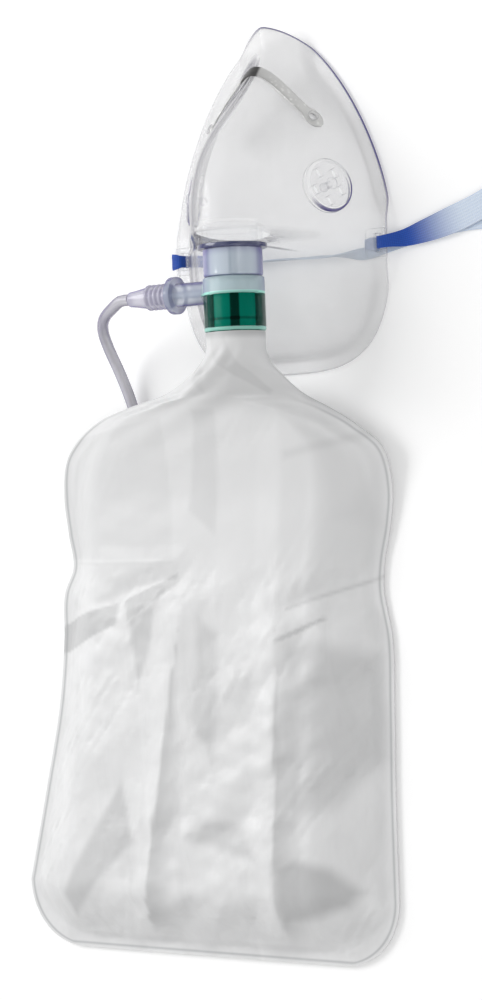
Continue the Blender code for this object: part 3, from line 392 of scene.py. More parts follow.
def port_shade_crescent(f, side):
    """1 on the outer edge of one port's seat, from its far side round to its lower side, for a painted
    purple shade.
    """
    place, normal = port_frame(side)
    radius = PORT_SEAT_OD / 2
    off = [f.along(axis) - float(middle) for axis, middle in zip("XYZ", place)]
    parts = [part * float(way) for part, way in zip(off, normal)]
    depth = sum(parts[1:], parts[0])
    squares = [part * part for part in off]
    squared = sum(squares[1:], squares[0]) - depth * depth
    reach = (-0.9 * MM, -0.6 * MM, 0.1 * MM, 0.3 * MM)
    ring = squared.between(*((radius + part) ** 2 for part in reach))
    near = 1 - depth.absolute().rise(1.6 * MM, 2 * MM)
    return ring * near * (off[0] * side - off[1] * 0.6).rise(-0.2 * radius, 0.6 * radius)


def clear_vinyl():
    """Soft clear sheet: see-through where it is square to the eye, denser at edges and at the rim.

    It carries painted shade where it turns away from the eye, less so on the shelf's right end. The
    rim's cut edge has a painted dark purple shade line towards the nose and the right. The foot of
    the shelf has a painted dark shade line beside the sleeve, and each port a painted purple shade
    crescent on its outer side.
    """
    f = Finish("clear_vinyl")
    x = f.along("X")
    y = f.along("Y")
    # Painted shade: a dark purple line on the rim's cut edge, strongest towards the nose and the right
    edge_shade_reach = y.rise(38 * MM, 80 * MM) * x.rise(-16 * MM, 2 * MM)
    edge = f.attribute("edge") * (0.12 + 0.88 * edge_shade_reach)
    # Painted shade: a purple crescent on each port seat's outer side
    crescent = (port_shade_crescent(f, -1) + port_shade_crescent(f, 1)).clamped()
    facing = f.facing()
    # Painted shade where the sheet turns away from the eye, weaker on the shelf's right end
    shelf_end = x.between(8 * MM, 12 * MM, 26 * MM, 32 * MM)
    shelf_end = shelf_end * y.between(38 * MM, 42 * MM, 56 * MM, 62 * MM)
    turned_away = facing.rise(0.64, 0.80) * (1 - shelf_end * 0.85)
    flow = f.noise(38)
    fine = f.noise(260, 2)
    # Painted shade: a dark line in the crease at the foot of the shelf, beside the sleeve
    off_foot = y + x * 0.22 - (SHELF_Y + 0.5 * MM)
    foot = (1 - off_foot.absolute() * (1 / (0.5 * MM))).clamped()
    foot = foot * x.between(-2 * MM, 3 * MM, 8 * MM, 19 * MM) * f.along("Z").rise(11 * MM, 13 * MM)
    dark = turned_away * 0.8 + foot * 0.7
    base = f.mix(dark, (0.80, 0.80, 0.81), (0.11, 0.105, 0.14))
    base = f.mix(edge + crescent, base, (0.06, 0.045, 0.24))
    alpha = 0.19 + (facing**2.4) * 0.33 + turned_away * 0.5 + foot * 0.5 + (flow - 0.5) * 0.1
    alpha = alpha * (1 - f.attribute("seat") * 0.88) + edge * 0.8 + crescent * 0.75
    rough = 0.13 + (flow - 0.5) * 0.10
    normal = f.bump(flow * 0.7 + fine * 0.12, 1.4 * MM, 0.35)
    return f.surface(base, rough, Alpha=alpha.clamped(), Normal=normal, IOR=1.5)


def rib_and_reflection_wave(f):
    """cos(6 a), a being the angle round the airway's axis from a band as far off the top as the camera.
    """
    # Its dark bands are partly ribs and partly a painted reflection of the dark strip round the camera
    height = f.along("Z") - AXIS_Z
    angle = height.math("ARCTAN2", f.along("X"), height)
    return angle.math("COSINE", (angle - RIB_AND_REFLECTION_ANGLE) * 6)


def pale_blue_plastic():
    """Clear blue-lilac sleeve: its tint gathers at its sides and in its flange, not inside the mask."""
    f = Finish("pale_blue_plastic")
    y = f.along("Y")
    facing = f.facing()
    sides = facing.rise(0.18, 0.65)
    # Painted shade under the flange
    shade_under_flange = y.rise(SLEEVE_TOP - 5 * MM, SLEEVE_FLANGE_Y)
    flange = y.rise(SLEEVE_FLANGE_Y - 0.6 * MM, SLEEVE_FLANGE_Y)
    inside = y.rise(SLEEVE_TOP - 0.1 * MM, SLEEVE_TOP + 0.4 * MM)
    fine = f.noise(120, 2)
    # Painted reflection: dark bands along the sleeve, one of them facing the camera
    ribs = rib_and_reflection_wave(f).rise(0.3, 0.95)
    base = f.mix(ribs * 0.4, (0.62, 0.70, 0.79), (0.28, 0.36, 0.44))
    base = f.mix(sides * 0.85 + shade_under_flange * 0.35, base, (0.20, 0.19, 0.42))
    base = f.mix(flange * (1 - inside) * 0.9, base, (0.02, 0.025, 0.11))
    base = f.mix(inside, base, (0.72, 0.76, 0.80))
    alpha = (0.85 + sides * 0.15) * (1 - inside) + (0.02 + facing * 0.07) * inside
    normal = f.bump(fine, 0.25 * MM, 0.3)
    return f.surface(base, 0.08 + fine * 0.06, Alpha=alpha.clamped(), Normal=normal, IOR=1.55)


def cyan_clear_plastic():
    """Very clear tee: faint cyan above the green ring, lilac along the inlet, a painted mint highlight
    at its edges.

    Over the ring it shows at its sides alone, as painted dark green reflection bands, and inside the
    mask it hardly shows.
    """
    f = Finish("cyan_clear_plastic")
    x = f.along("X")
    y = f.along("Y")
    facing = f.facing()
    sides = facing.rise(0.3, 0.8)
    trunk = x.rise(-TEE_OD / 2 - 0.6 * MM, -TEE_OD / 2 + 0.4 * MM)
    branch = 1 - trunk
    # Painted highlight: a mint line along the tee's lip and round it at the ring's top edge
    lip = (1 - y.rise(TEE_BOTTOM + 1 * MM, TEE_BOTTOM + 1.6 * MM)) * trunk
    line = [ADAPTER_TOP + part * MM for part in (-0.6, -0.2, 0.2, 0.8)]
    edge_highlight = lip + y.between(*line) * trunk
    above = y.rise(ADAPTER_TOP, ADAPTER_TOP + 0.6 * MM) * trunk
    fine = f.noise(120, 2)
    body = f.mix(sides, (0.66, 0.82, 0.87), (0.40, 0.47, 0.62))
    tube = f.mix(facing.rise(0.2, 0.62), (0.60, 0.66, 0.78), (0.13, 0.12, 0.36))
    # Painted reflection: dark green bands at the tee's sides over the ring
    below = (1 - above) * trunk * (1 - lip)
    wide = facing.rise(0.3, 0.55) * below
    body = f.mix(below, body, (0.0, 0.06, 0.042))
    base = f.mix(branch, body, tube)
    base = f.mix(edge_highlight, base, (0.42, 0.86, 0.74))
    alpha = 0.006 + sides * (1 - below) * 0.25 + (above + branch + edge_highlight) * 0.5 + wide * 0.75
    alpha = alpha * (1 - y.rise(SLEEVE_TOP - 0.3 * MM, SLEEVE_TOP + 0.2 * MM) * 0.93)
    rough = 0.1 + fine * 0.06
    normal = f.bump(fine, 0.25 * MM, 0.3)
    return f.surface(base, rough, Alpha=alpha.clamped(), Normal=normal, Specular_IOR_Level=0.2)


def green_plastic():
    """Deep green with six darker ribs along it, their darkness partly a painted reflection, and a
    painted shade line round it for a groove.
    """
    f = Finish("green_plastic")
    grain = f.noise(90, 3, 0.55)
    # Ribs in the bump, darkened partly as a painted reflection
    ribs = rib_and_reflection_wave(f).rise(0.3, 0.7)
    y = f.along("Y")
    # Painted shade for a groove round the ring, which the mesh doesn't have
    groove = y.between(*(TEE_BOTTOM + part * MM for part in (3.6, 4.2, 4.6, 5.2)))
    base = f.mix(grain, (0.0, 0.19, 0.13), (0.0, 0.25, 0.17))
    base = f.mix(ribs * 0.9 + groove * 0.5, base, (0.0, 0.012, 0.008))
    normal = f.bump(grain * 0.3 - ribs, 0.3 * MM, 0.3)
    return f.surface(base, 0.2 + grain * 0.08, Normal=normal, Specular_IOR_Level=0.04)


def clear_silicone():
    """Very clear silicone, denser and lilac at its silhouette."""
    f = Finish("clear_silicone")
    facing = f.facing()
    grain = f.noise(180)
    base = f.mix(facing**3, (0.84, 0.84, 0.86), (0.25, 0.22, 0.42))
    alpha = (0.07 + (facing**2.5) * 0.8).clamped()
    normal = f.bump(grain, 0.2 * MM, 0.3)
    return f.surface(base, 0.16 + grain * 0.1, Alpha=alpha, Normal=normal)


def soft_aluminium():
    """Dull strip with small pale dents, near black where it bends over the ridge."""
    f = Finish("soft_aluminium")
    brushed = f.noise(70, 5, 0.65, f.stretched((1, 6, 1), (0, 0, 0.6)))
    dents = f.noise(640, 2)
    base = f.mix(brushed, (0.50, 0.50, 0.495), (0.64, 0.64, 0.63))
    base = f.mix(dents.rise(0.58, 0.66), base, (0.70, 0.70, 0.69))
    off_bend = f.along("X") + 1.5 * MM
    bend = 1 - off_bend.absolute().rise(3.2 * MM, 4.4 * MM)
    base = f.mix(bend * 0.9, base, (0.035, 0.034, 0.034))
    normal = f.bump(brushed * 0.5 + dents * 0.5, 0.25 * MM, 0.5)
    return f.surface(base, 0.34 + brushed * 0.2, Metallic=1.0, Normal=normal)


def bag_film():
    """Thin milky film, satin, with small creases between the folds that the mesh has."""
    f = Finish("bag_film")
    weld = f.attribute("weld")
    crumpled = f.attribute("crumpled")
    shade = f.attribute("shade")
    wander = f.noise(30, 4, 0.55)
    fine = f.noise(190, 4, 0.6, f.stretched((1, 0.4, 1), (0, 0, 0.5)))
    streaks = f.noise(75, 3, 0.6, f.stretched((1, 0.3, 1), (0, 0, -0.7)), 0.6)
    creased = (wander * 0.5 + streaks * 0.6 + fine * 0.15) * (0.15 + 0.85 * crumpled)
    # Painted highlights and shade along the crumple streaks, stronger where the film is crumpled
    crumple_highlight = (streaks - 0.35) * 1.6 * (0.2 + 0.8 * crumpled) + 0.2
    base = f.mix(crumple_highlight, (0.735, 0.737, 0.74), (0.875, 0.877, 0.88))
    # Painted shade from fold_shade's patches and wedges
    base = f.mix(shade * 0.75, base, (0.33, 0.332, 0.335))
    base = f.mix(weld * 0.6, base, (0.36, 0.37, 0.38))
    neck = f.along("Y").rise(NECK_TOP_Y - 3.5 * MM, NECK_TOP_Y - 0.5 * MM)
    base = f.mix(neck * 0.5, base, (0.30, 0.31, 0.31))
    normal = f.bump(creased, 1.1 * MM, 0.3)
    rough = 0.40 + (fine - 0.5) * 0.12
    return f.surface(base, rough, Normal=normal, Specular_IOR_Level=0.35, IOR=1.45)


def soft_vinyl(name, body, rim, stripe=0.0):
    """Translucent soft vinyl. The tube's lengthwise ribs come from its stripe attribute."""
    f = Finish(name)
    facing = f.facing()
    ribs = f.attribute("stripe")
    haze = f.noise(60)
    dark = facing.rise(0.32, 0.85) * 0.95 + ribs * stripe + (haze - 0.5) * 0.2
    base = f.mix(dark, body, rim)
    alpha = (0.5 + (facing**1.5) * 0.5 + ribs * stripe).clamped()
    normal = f.bump(haze * 0.3 + ribs * 0.5, 0.3 * MM, 0.4)
    return f.surface(base, 0.16 + haze * 0.1, Alpha=alpha, Normal=normal)


def blue_elastic():
    """Woven elastic: cords run along it, fine yarn crosses it, and painted light washes it pale away
    from its eyelets.
    """
    f = Finish("blue_elastic")
    along = f.attribute("along")
    across = f.attribute("across")
    pale = f.attribute("pale")
    cords = across.math("SINE", across * (2 * math.pi / (1.1 * MM)))
    yarn = along.math("SINE", along * (2 * math.pi / (0.75 * MM)))
    fuzz = f.noise(900, 3, 0.6)
    weave = cords * 0.3 + yarn * 0.2 + fuzz * 0.5
    deep = f.mix(weave * 0.5 + 0.3, (0.0, 0.03, 0.26), (0.003, 0.11, 0.60))
    light = f.mix(weave * 0.4 + 0.5, (0.52, 0.64, 0.84), (0.78, 0.85, 0.94))
    # Painted light: where pale is 1 the strap is washed out
    base = f.mix(pale, deep, light)
    normal = f.bump(weave, 0.22 * MM, 0.6)
    return f.surface(base, 0.62 + fuzz * 0.2, Normal=normal, Sheen_Weight=0.3)


# Mesh building


def grid_quads(rows, columns, wrap_rows=False, wrap_columns=False):
    """Corner numbers of the quads of a grid of points, numbered row by row."""
    low = np.arange(rows if wrap_rows else rows - 1)
    left = np.arange(columns if wrap_columns else columns - 1)
    r, c = np.meshgrid(low, left, indexing="ij")
    above = (r + 1) % rows
    after = (c + 1) % columns
    quads = [r * columns + c, r * columns + after, above * columns + after, above * columns + c]
    return np.stack(quads, axis=-1).reshape(-1, 4)


def link(obj):
    bpy.context.scene.collection.objects.link(obj)
    return obj


def add_layers(mesh, layers):
    """Gives the mesh one number a point under each name."""
    for name, values in layers.items():
        made = mesh.attributes.new(name, "FLOAT", "POINT")
        made.data.foreach_set("value", np.asarray(values, np.float32).ravel())


def closed_mesh(name, points, quads, finish, layers=None, caps=()):
    """A mesh of layout points, joined where they meet, with its faces turned outwards."""
    mesh = bpy.data.meshes.new(name)
    faces = [tuple(quad) for quad in np.asarray(quads).tolist()] + [tuple(cap) for cap in caps]
    mesh.from_pydata((np.asarray(points) + ROW_SHIFT).tolist(), [], faces)
    add_layers(mesh, layers or {})
    work = bmesh.new()
    work.from_mesh(mesh)
    bmesh.ops.remove_doubles(work, verts=work.verts, dist=1e-7)
    bmesh.ops.recalc_face_normals(work, faces=work.faces)
    work.to_mesh(mesh)
    work.free()
    mesh.materials.append(finish)
    mesh.shade_smooth()
    return link(bpy.data.objects.new(name, mesh))


def lofted(name, points, finish, layers=None):
    """A closed mesh of loops of points, one after the other, with a cap at either end."""
    rows, sides = points.shape[:2]
    quads = grid_quads(rows, sides, False, True)
    last = (rows - 1) * sides
    caps = [tuple(range(sides)), tuple(range(last, last + sides))]
    return closed_mesh(name, points.reshape(-1, 3), quads, finish, layers, caps)


def round_angles(count):
    """That many even steps round a circle."""
    return 2 * math.pi * np.arange(count) / count


def soft_section(sides, width_power, height_power):
    """Loop of a flat section with rounded edges: signed powers of cos a and sin a, from -1 to 1."""
    across, up = np.cos(round_angles(sides)), np.sin(round_angles(sides))
    width = np.sign(across) * np.abs(across) ** width_power
    return width, np.sign(up) * np.abs(up) ** height_power


def unit(vectors):
    """The same directions with length 1."""
    return vectors / np.linalg.norm(vectors, axis=-1, keepdims=True)


def add_piece(obj, slot, *nodes, sharp=32):
    """Puts a finished object on the part's body, in place of the named nodes."""
    obj.data.set_sharp_from_angle(angle=math.radians(sharp))
    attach(obj, "root")
    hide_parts(*nodes)


def refinish(obj, finish):
    """Gives a mesh that Booleans left its one finish again."""
    obj.data.materials.clear()
    obj.data.materials.append(finish)
    obj.data.shade_smooth()


def boolean(target, tool, operation, solver="MANIFOLD"):
    """Joins or cuts the target with the tool, which is then removed."""
    step = target.modifiers.new("step", "BOOLEAN")
    step.operation = operation
    step.solver = solver
    step.object = tool
    graph = bpy.context.evaluated_depsgraph_get()
    made = bpy.data.meshes.new_from_object(target.evaluated_get(graph))
    target.modifiers.clear()
    old = target.data
    target.data = made
    bpy.data.meshes.remove(old)
    bpy.data.objects.remove(tool, do_unlink=True)


def rounded(profile, radius, steps=3):
    """Rounds a closed profile's corners: each becomes a quadratic arc that starts radius away."""
    corners = np.array(profile, float)
    made = []
    for before, corner, after in zip(np.roll(corners, 1, 0), corners, np.roll(corners, -1, 0)):
        if corner[0] < 1e-9:
            made.append(corner)
            continue
        back, front = before - corner, after - corner
        reach = min(radius, 0.45 * np.linalg.norm(back), 0.45 * np.linalg.norm(front))
        start = corner + back / np.linalg.norm(back) * reach
        end = corner + front / np.linalg.norm(front) * reach
        for t in np.linspace(0, 1, steps):
            made.append((1 - t) ** 2 * start + 2 * t * (1 - t) * corner + t * t * end)
    return np.array(made)


def turned(name, profile, base, way, finish, segments=96, rounding=0.25 * MM):
    """Turns a profile of (radius, height) about an axis: base + way h + r (u cos a + v sin a)."""
    profile = rounded(profile, rounding)
    way = np.array(way, float) / np.linalg.norm(way)
    side = np.cross(way, (0.0, 0.0, 1.0) if abs(way[2]) < 0.9 else (0.0, 1.0, 0.0))
    side /= np.linalg.norm(side)
    other = np.cross(way, side)
    angle = round_angles(segments)[:, None]
    ring = np.cos(angle) * side + np.sin(angle) * other
    points = base + profile[:, 1, None, None] * way + profile[:, 0, None, None] * ring
    quads = grid_quads(len(profile), segments, True, True)
    return closed_mesh(name, points.reshape(-1, 3), quads, finish)


def on_airway(name, profile, finish, segments=128, rounding=0.25 * MM):
    """A turned piece on the axis that runs through sleeve, tee and ring."""
    return turned(name, profile, AXIS_BASE, AXIS_WAY, finish, segments, rounding)


def disc_profile(radius, low, high):
    """Profile of a plain disc or cylinder."""
    return [(0, low), (radius, low), (radius, high), (0, high)]


def drill(target, radius, low, high, base, way, segments=48, solver="MANIFOLD"):
    """Cuts a round hole along an axis."""
    tool = turned("tool", disc_profile(radius, low, high), base, way, None, segments, 0)
    boolean(target, tool, "DIFFERENCE", solver)


def box_tool(size, place):
    """A box about its middle, as a tool for a Boolean."""
    x, y, z = (side / 2 for side in size)
    points = [(i * x, j * y, k * z) for k in (-1, 1) for j in (-1, 1) for i in (-1, 1)]
    faces = [(0, 2, 3, 1), (4, 5, 7, 6), (0, 1, 5, 4), (2, 6, 7, 3), (0, 4, 6, 2), (1, 3, 7, 5)]
    return closed_mesh("tool", np.array(points) + place, faces, None)


def steps_of(line):
    """Distances from row to row."""
    return np.linalg.norm(np.diff(line[:, :3], axis=0), axis=1)


def through(route, steps):
    """A smooth cubic through the route's rows, whose slope at a row is the mean of its neighbours'."""
    rows = np.array(route, float)
    spans = steps_of(rows)[:, None]
    slopes = np.diff(rows, axis=0) / spans
    inner = (slopes[:-1] * spans[1:] + slopes[1:] * spans[:-1]) / (spans[1:] + spans[:-1])
    tangents = np.concatenate([slopes[:1], inner, slopes[-1:]])
    fine = []
    for low, high, span, leave, arrive in zip(rows, rows[1:], spans, tangents, tangents[1:]):
        t = np.linspace(0, 1, steps, endpoint=False)[:, None]
        bend = (1 - t) * leave * span - t * arrive * span - (1 - 2 * t) * (high - low)
        fine.append(low + (high - low) * t + t * (1 - t) * bend)
    return np.concatenate([*fine, rows[-1:]])


def distances(line):
    """How far along the line each of its rows is."""
    return np.concatenate([[0], np.cumsum(steps_of(line))])


def evenly(fine, spacing=None, count=None):
    """The same line with rows at equal distances."""
    along = distances(fine)
    count = count or int(along[-1] / spacing) + 1
    even = np.linspace(0, along[-1], count)
    return np.stack([np.interp(even, along, column) for column in fine.T], axis=1)


# Tubing: the lead, a flat two-layer coil under the bag, and the tail to the outlet cuff

COIL_JOIN = 19 * MM
COIL_BLEND_TURNS = 0.12
LEAD_ROUTE = [
    (CUFF_END_X - 2.2 * GAP, INLET_Y, AXIS_Z),
    (CUFF_END_X - 4 * MM, INLET_Y - 0.05 * MM, AXIS_Z - 0.1 * MM),
    *in_mm([
        (-55.6, 27.6, 36), (-63, 24.6, 30.6), (-68.8, 20.4, 23),
        (-71.8, 14.2, 15), (-71.8, 5.6, 8.4), (-69.6, -6, 4.2),
    ]),
    (-66.6 * MM, -20 * MM, TUBE_Z + 0.3 * MM),
    (-63.4 * MM, -36 * MM, TUBE_Z),
    (-61.4 * MM, -51 * MM, TUBE_Z),
    (COIL_CENTRE[0] - COIL_OUTER_TURN - 0.3 * MM, -64 * MM, TUBE_Z),
    (COIL_CENTRE[0] - COIL_OUTER_TURN - 0.1 * MM, COIL_CENTRE[1] + COIL_JOIN, TUBE_Z),
]
TAIL_ROUTE = [
    (-32 * MM, -135.2 * MM, TUBE_Z),
    (-24 * MM, -135.9 * MM, TUBE_Z),
    *in_mm([
        (-16, -138, 2.6), (-9.8, -142.6, 3.8), (-6.2, -148.4, 5.3),
        (-5, -153.2, 5.9), (-5, -155.7, 5.9),
    ]),
]


def coil_line():
    """Two flat spirals, one on the other, anticlockwise seen from above.

    The radius falls from the lead's end by COIL_PITCH a turn, and grows back to the tail's start.
    """
    start = math.atan2(COIL_JOIN, -COIL_OUTER_TURN)
    tail = np.array(TAIL_ROUTE[0][:2]) - COIL_CENTRE
    leave = math.atan2(tail[1], tail[0]) % (2 * math.pi) - start
    turns = COIL_FULL_TURNS + leave / (2 * math.pi)
    t = np.linspace(0, turns, 1000)[1:-1]
    from_end = np.minimum(t, turns - t)
    wide = COIL_OUTER_TURN + 0.2 * MM - COIL_PITCH * np.maximum(from_end - COIL_BLEND_TURNS, 0)
    meet = math.hypot(COIL_JOIN, COIL_OUTER_TURN + 0.1 * MM)
    radius = wide + (meet - wide) * (1 - smooth(from_end / COIL_BLEND_TURNS))
    rise = TUBE_OD * 0.96 * smooth((t - turns / 2 + 0.35) / 0.7) * smooth((turns - t) / 0.2)
    angle = start + 2 * math.pi * t
    x = COIL_CENTRE[0] + radius * np.cos(angle)
    y = COIL_CENTRE[1] + radius * np.sin(angle)
    return np.stack([x, y, TUBE_Z + rise], axis=1)


def swept_tube(name, line, radius, finish, sides=14, ribs=5):
    """A round section carried along a line by frames that turn as little as they can."""
    forward = unit(np.gradient(line, axis=0))
    up = np.empty_like(line)
    last = np.array([0.0, 0.0, 1.0])
    for k, way in enumerate(forward):
        last = unit(last - way * last.dot(way))
        up[k] = last
    side = np.cross(forward, up)
    angle = round_angles(sides)
    ring = np.cos(angle)[:, None] * side[:, None] + np.sin(angle)[:, None] * up[:, None]
    points = line[:, None] + radius * ring
    stripe = np.broadcast_to(0.5 + 0.5 * np.cos(ribs * angle), points.shape[:2])
    return lofted(name, points, finish, {"stripe": stripe})


def cuff_profile():
    """Ribs round the grip, then a taper to the tube."""
    grip = INLET_BARB_OD / 2 + GAP
    outside = CUFF_OD / 2
    depth = INLET_BARB_LENGTH + 0.3 * MM
    pitch = 0.55 * CUFF_LENGTH / CUFF_RIBS
    profile = [(grip, depth), (grip, 0), (outside - 0.6 * MM, 0)]
    for rib in range(CUFF_RIBS):
        start = 0.5 * MM + rib * pitch
        profile += [(outside - 0.8 * MM, start), (outside, start + 0.4 * MM)]
        profile += [(outside, start + 0.6 * pitch), (outside - 0.8 * MM, start + 0.75 * pitch)]
    neck = 0.62 * CUFF_LENGTH
    profile += [(outside - 0.9 * MM, neck), (CUFF_TIP_OD / 2, CUFF_LENGTH - 3 * MM)]
    profile += [(CUFF_TIP_OD / 2 - 0.4 * MM, CUFF_LENGTH), (0, CUFF_LENGTH), (0, depth)]
    return profile


def outlet_profile():
    """A flared connector with a bore for the supply's nozzle at its far end."""
    bore = OUTLET_BORE / 2
    outside = OUTLET_OD / 2
    end = OUTLET_LENGTH
    return [
        (0, 0),
        (TUBE_OD / 2 + 0.9 * MM, 0),
        (TUBE_OD / 2 + 1.3 * MM, 0.3 * end),
        (outside - 1.2 * MM, 0.45 * end),
        (outside - 0.6 * MM, end - 6 * MM),
        (outside, end - 5 * MM),
        (outside, end),
        (bore, end),
        (bore, end - OUTLET_BORE_LENGTH),
        (0, end - OUTLET_BORE_LENGTH),
    ]


def make_tubing():
    tube_finish = soft_vinyl("tube_vinyl", (0.70, 0.69, 0.74), (0.17, 0.15, 0.27), 0.3)
    cuff_finish = soft_vinyl("cuff_vinyl", (0.70, 0.68, 0.80), (0.14, 0.11, 0.36))
    cuff = turned("inlet_grip", cuff_profile(), (CUFF_START_X, INLET_Y, AXIS_Z), INLET_WAY, cuff_finish)
    add_piece(cuff, "cuff_vinyl", "inlet_cuff")
    end_x, end_y, end_z = TAIL_ROUTE[-1]
    start = (end_x, end_y - GAP, end_z)
    outlet = turned("outlet_end", outlet_profile(), start, (0, -1, 0), cuff_finish, 48)
    add_piece(outlet, "cuff_vinyl", "outlet_cuff")
    line = np.concatenate([through(LEAD_ROUTE, 12), coil_line(), through(TAIL_ROUTE, 12)])
    line = evenly(line, 2.2 * MM)
    tube = swept_tube("oxygen_tubing", line, TUBE_OD / 2, tube_finish)
    add_piece(tube, "tube_vinyl", "oxygen_tube_lead", "oxygen_tube_coil", "oxygen_tube_tail", sharp=60)


# Head strap

ON_TOP = CHEEK_ARCH + FLANGE_THICKNESS + EYELET_HEIGHT + GAP + STRAP_THICKNESS / 2
# The strap's way up through an eyelet's slot, as rows of x and z
SLOT_CLIMB = [
    (40.4 * MM, 1.75 * MM),
    (SLOT_X - 0.2 * MM, 2.6 * MM),
    (SLOT_X, 4.2 * MM),
    (SLOT_X + 0.6 * MM, ON_TOP - 0.3 * MM),
]
# Out of the right eyelet, round, back under the mask on edge and out of the left one, as rows of
# x, y, z, width and roll in degrees
STRAP_ROUTE = [
    (35.8 * MM, EYELET_Y, 2.2 * MM, 3.4 * MM, 0),
    (37.6 * MM, EYELET_Y, 1.8 * MM, STRAP_GATHERED, 0),
    *((x, EYELET_Y, z, STRAP_GATHERED, 0) for x, z in SLOT_CLIMB),
    (SLOT_X + 2.2 * MM, EYELET_Y, ON_TOP + 0.2 * MM, STRAP_GATHERED, 0),
    *in_mm([
        (47, 46.8, 5.2, 4.9, 0), (51.4, 47.4, 2.4, 6.2, 0), (60, 49.3, 1.75, 8.4, 0),
        (70, 52, 1.7, 10, 0), (84, 57, 1.7, 10, 0), (101, 67, 0.9, 10, 0),
        (118, 80, 0.5, 10, 0), (139, 92, 0.5, 10, 0), (162, 92, 0.5, 10, 0),
        (177, 75, 0.5, 10, 0), (174, 52, 0.5, 10, 0), (156, 38, 0.5, 10, 0),
        (130, 39, 0.5, 10, 0), (104, 47.5, 0.5, 10, 0), (84, 52.5, 0.5, 9, 0),
        (70, 51.2, 0.5, 7.6, 0), (58, 48.6, 0.5, 6, 0), (49, 46.2, 0.5, 4.8, 0),
        (43, 44.8, 0.5, 4.6, 0), (38, 43.6, 0.6, 4.6, 0), (34, 43.1, 1.7, 4.6, 22),
        (30, 43, 2.6, 4.6, 60), (24, 43.2, 2.7, 4.6, 90), (0, 43.8, 2.7, 4.6, 90),
        (-24, 44.4, 2.7, 4.6, 90), (-30, 45.2, 2.6, 4.6, 60), (-34, 45.9, 1.9, 4.6, 22),
    ], plain=1),
    (-37.4 * MM, 46.4 * MM, 1.6 * MM, STRAP_GATHERED, 0),
    *((-x, EYELET_Y, z, STRAP_GATHERED, 0) for x, z in SLOT_CLIMB),
    (-SLOT_X - 2.2 * MM, EYELET_Y, ON_TOP + 0.2 * MM, 5.6 * MM, 0),
    (-SLOT_X - 4.6 * MM, EYELET_Y, ON_TOP - 0.3 * MM, 6.4 * MM, 0),
]


def make_strap():
    """A ribbon with rounded edges, gathered into shallow lengthwise folds near its eyelets."""
    rows = evenly(through(STRAP_ROUTE, 12), 0.7 * MM)
    spine = rows[:, :3]
    forward = unit(np.gradient(spine, axis=0))
    level = unit(np.cross(forward, (0.0, 0.0, 1.0)))
    upright = np.cross(level, forward)
    roll = np.radians(rows[:, 4:5])
    wide = level * np.cos(roll) + upright * np.sin(roll)
    thin = upright * np.cos(roll) - level * np.sin(roll)
    span, lift = soft_section(32, 0.6, 0.5)
    half = rows[:, 3:4] / 2
    gathered = smooth((STRAP_WIDTH - rows[:, 3:4]) / (5 * MM))
    ripple = 1 - 0.22 * gathered * (0.5 + 0.5 * np.cos(5 * math.pi * span[None]))
    points = spine[:, None] + (half * span)[..., None] * wide[:, None]
    points = points + (0.5 * STRAP_THICKNESS * lift * ripple)[..., None] * thin[:, None]
    along = distances(spine)
    # Painted light: pale along the run away from the eyelets, and at the strap's start under the rim
    pale = smooth((along - 21 * MM) / (26 * MM)) * smooth((along[-1] - 16 * MM - along) / (5 * MM))
    pale = np.maximum(pale, 0.75 * smooth((8 * MM - along) / (2 * MM)))
    grid = points.shape[:2]
    layers = {
        "along": np.broadcast_to(along[:, None], grid),
        "across": np.broadcast_to(span * STRAP_WIDTH / 2, grid),
        "pale": np.broadcast_to(pale[:, None], grid),
    }
    strap = lofted("elastic_strap", points, blue_elastic(), layers)
    add_piece(strap, "blue_elastic", "head_strap", sharp=70)
    path = evenly(spine, 3 * MM) + ROW_SHIFT


# Mask shell


def half_width(y, inset=0.0):
    """Half the mask's width at y: a rounded chin and a tapered nose, moved inwards by inset."""
    y = np.asarray(y, float)
    chin = np.clip((WIDEST_Y - y) / (WIDEST_Y - inset), 0, 1)
    nose = np.clip((y - WIDEST_Y) / (MASK_LENGTH - inset - WIDEST_Y), 0, 1)
    low = (1 - chin**CHIN_ROUNDNESS) ** (1 / CHIN_ROUNDNESS)
    high = (1 - nose**NOSE_TAPER) ** NOSE_ROUNDNESS
    return (MASK_HALF_WIDTH - inset) * np.where(y < WIDEST_Y, low, high)


def chin_edge(x, inset=0.0):
    """The outline's y at x on the chin side."""
    share = np.clip(np.abs(x) / (MASK_HALF_WIDTH - inset), 0, 1)
    return WIDEST_Y - (WIDEST_Y - inset) * (1 - share**CHIN_ROUNDNESS) ** (1 / CHIN_ROUNDNESS)


def nose_edge(x, inset=0.0):
    """The outline's y at x on the nose side."""
    share = np.clip(np.abs(x) / (MASK_HALF_WIDTH - inset), 0, 1)
    rise = (1 - share ** (1 / NOSE_ROUNDNESS)) ** (1 / NOSE_TAPER)
    return WIDEST_Y + (MASK_LENGTH - inset - WIDEST_Y) * rise


def rim_height(x, y):
    """The underside of the rim: flat on the table, arched at the eyelets, folded up at the nose."""
    nose = NOSE_RISE * smooth((y - NOSE_RISE_START) / (MASK_LENGTH - NOSE_RISE_START))
    off_fold = np.sqrt(x * x + NOSE_FOLD_RADIUS**2) - NOSE_FOLD_RADIUS
    nose = nose * np.clip(1 - off_fold / NOSE_FOLD_HALF_WIDTH, 0, 1)
    arch = CHEEK_ARCH * smooth(1.6 - np.abs(y - EYELET_Y) / (1.1 * EYELET_LENGTH))
    return nose + arch * smooth(2 * np.abs(x) / MASK_HALF_WIDTH - 0.7)


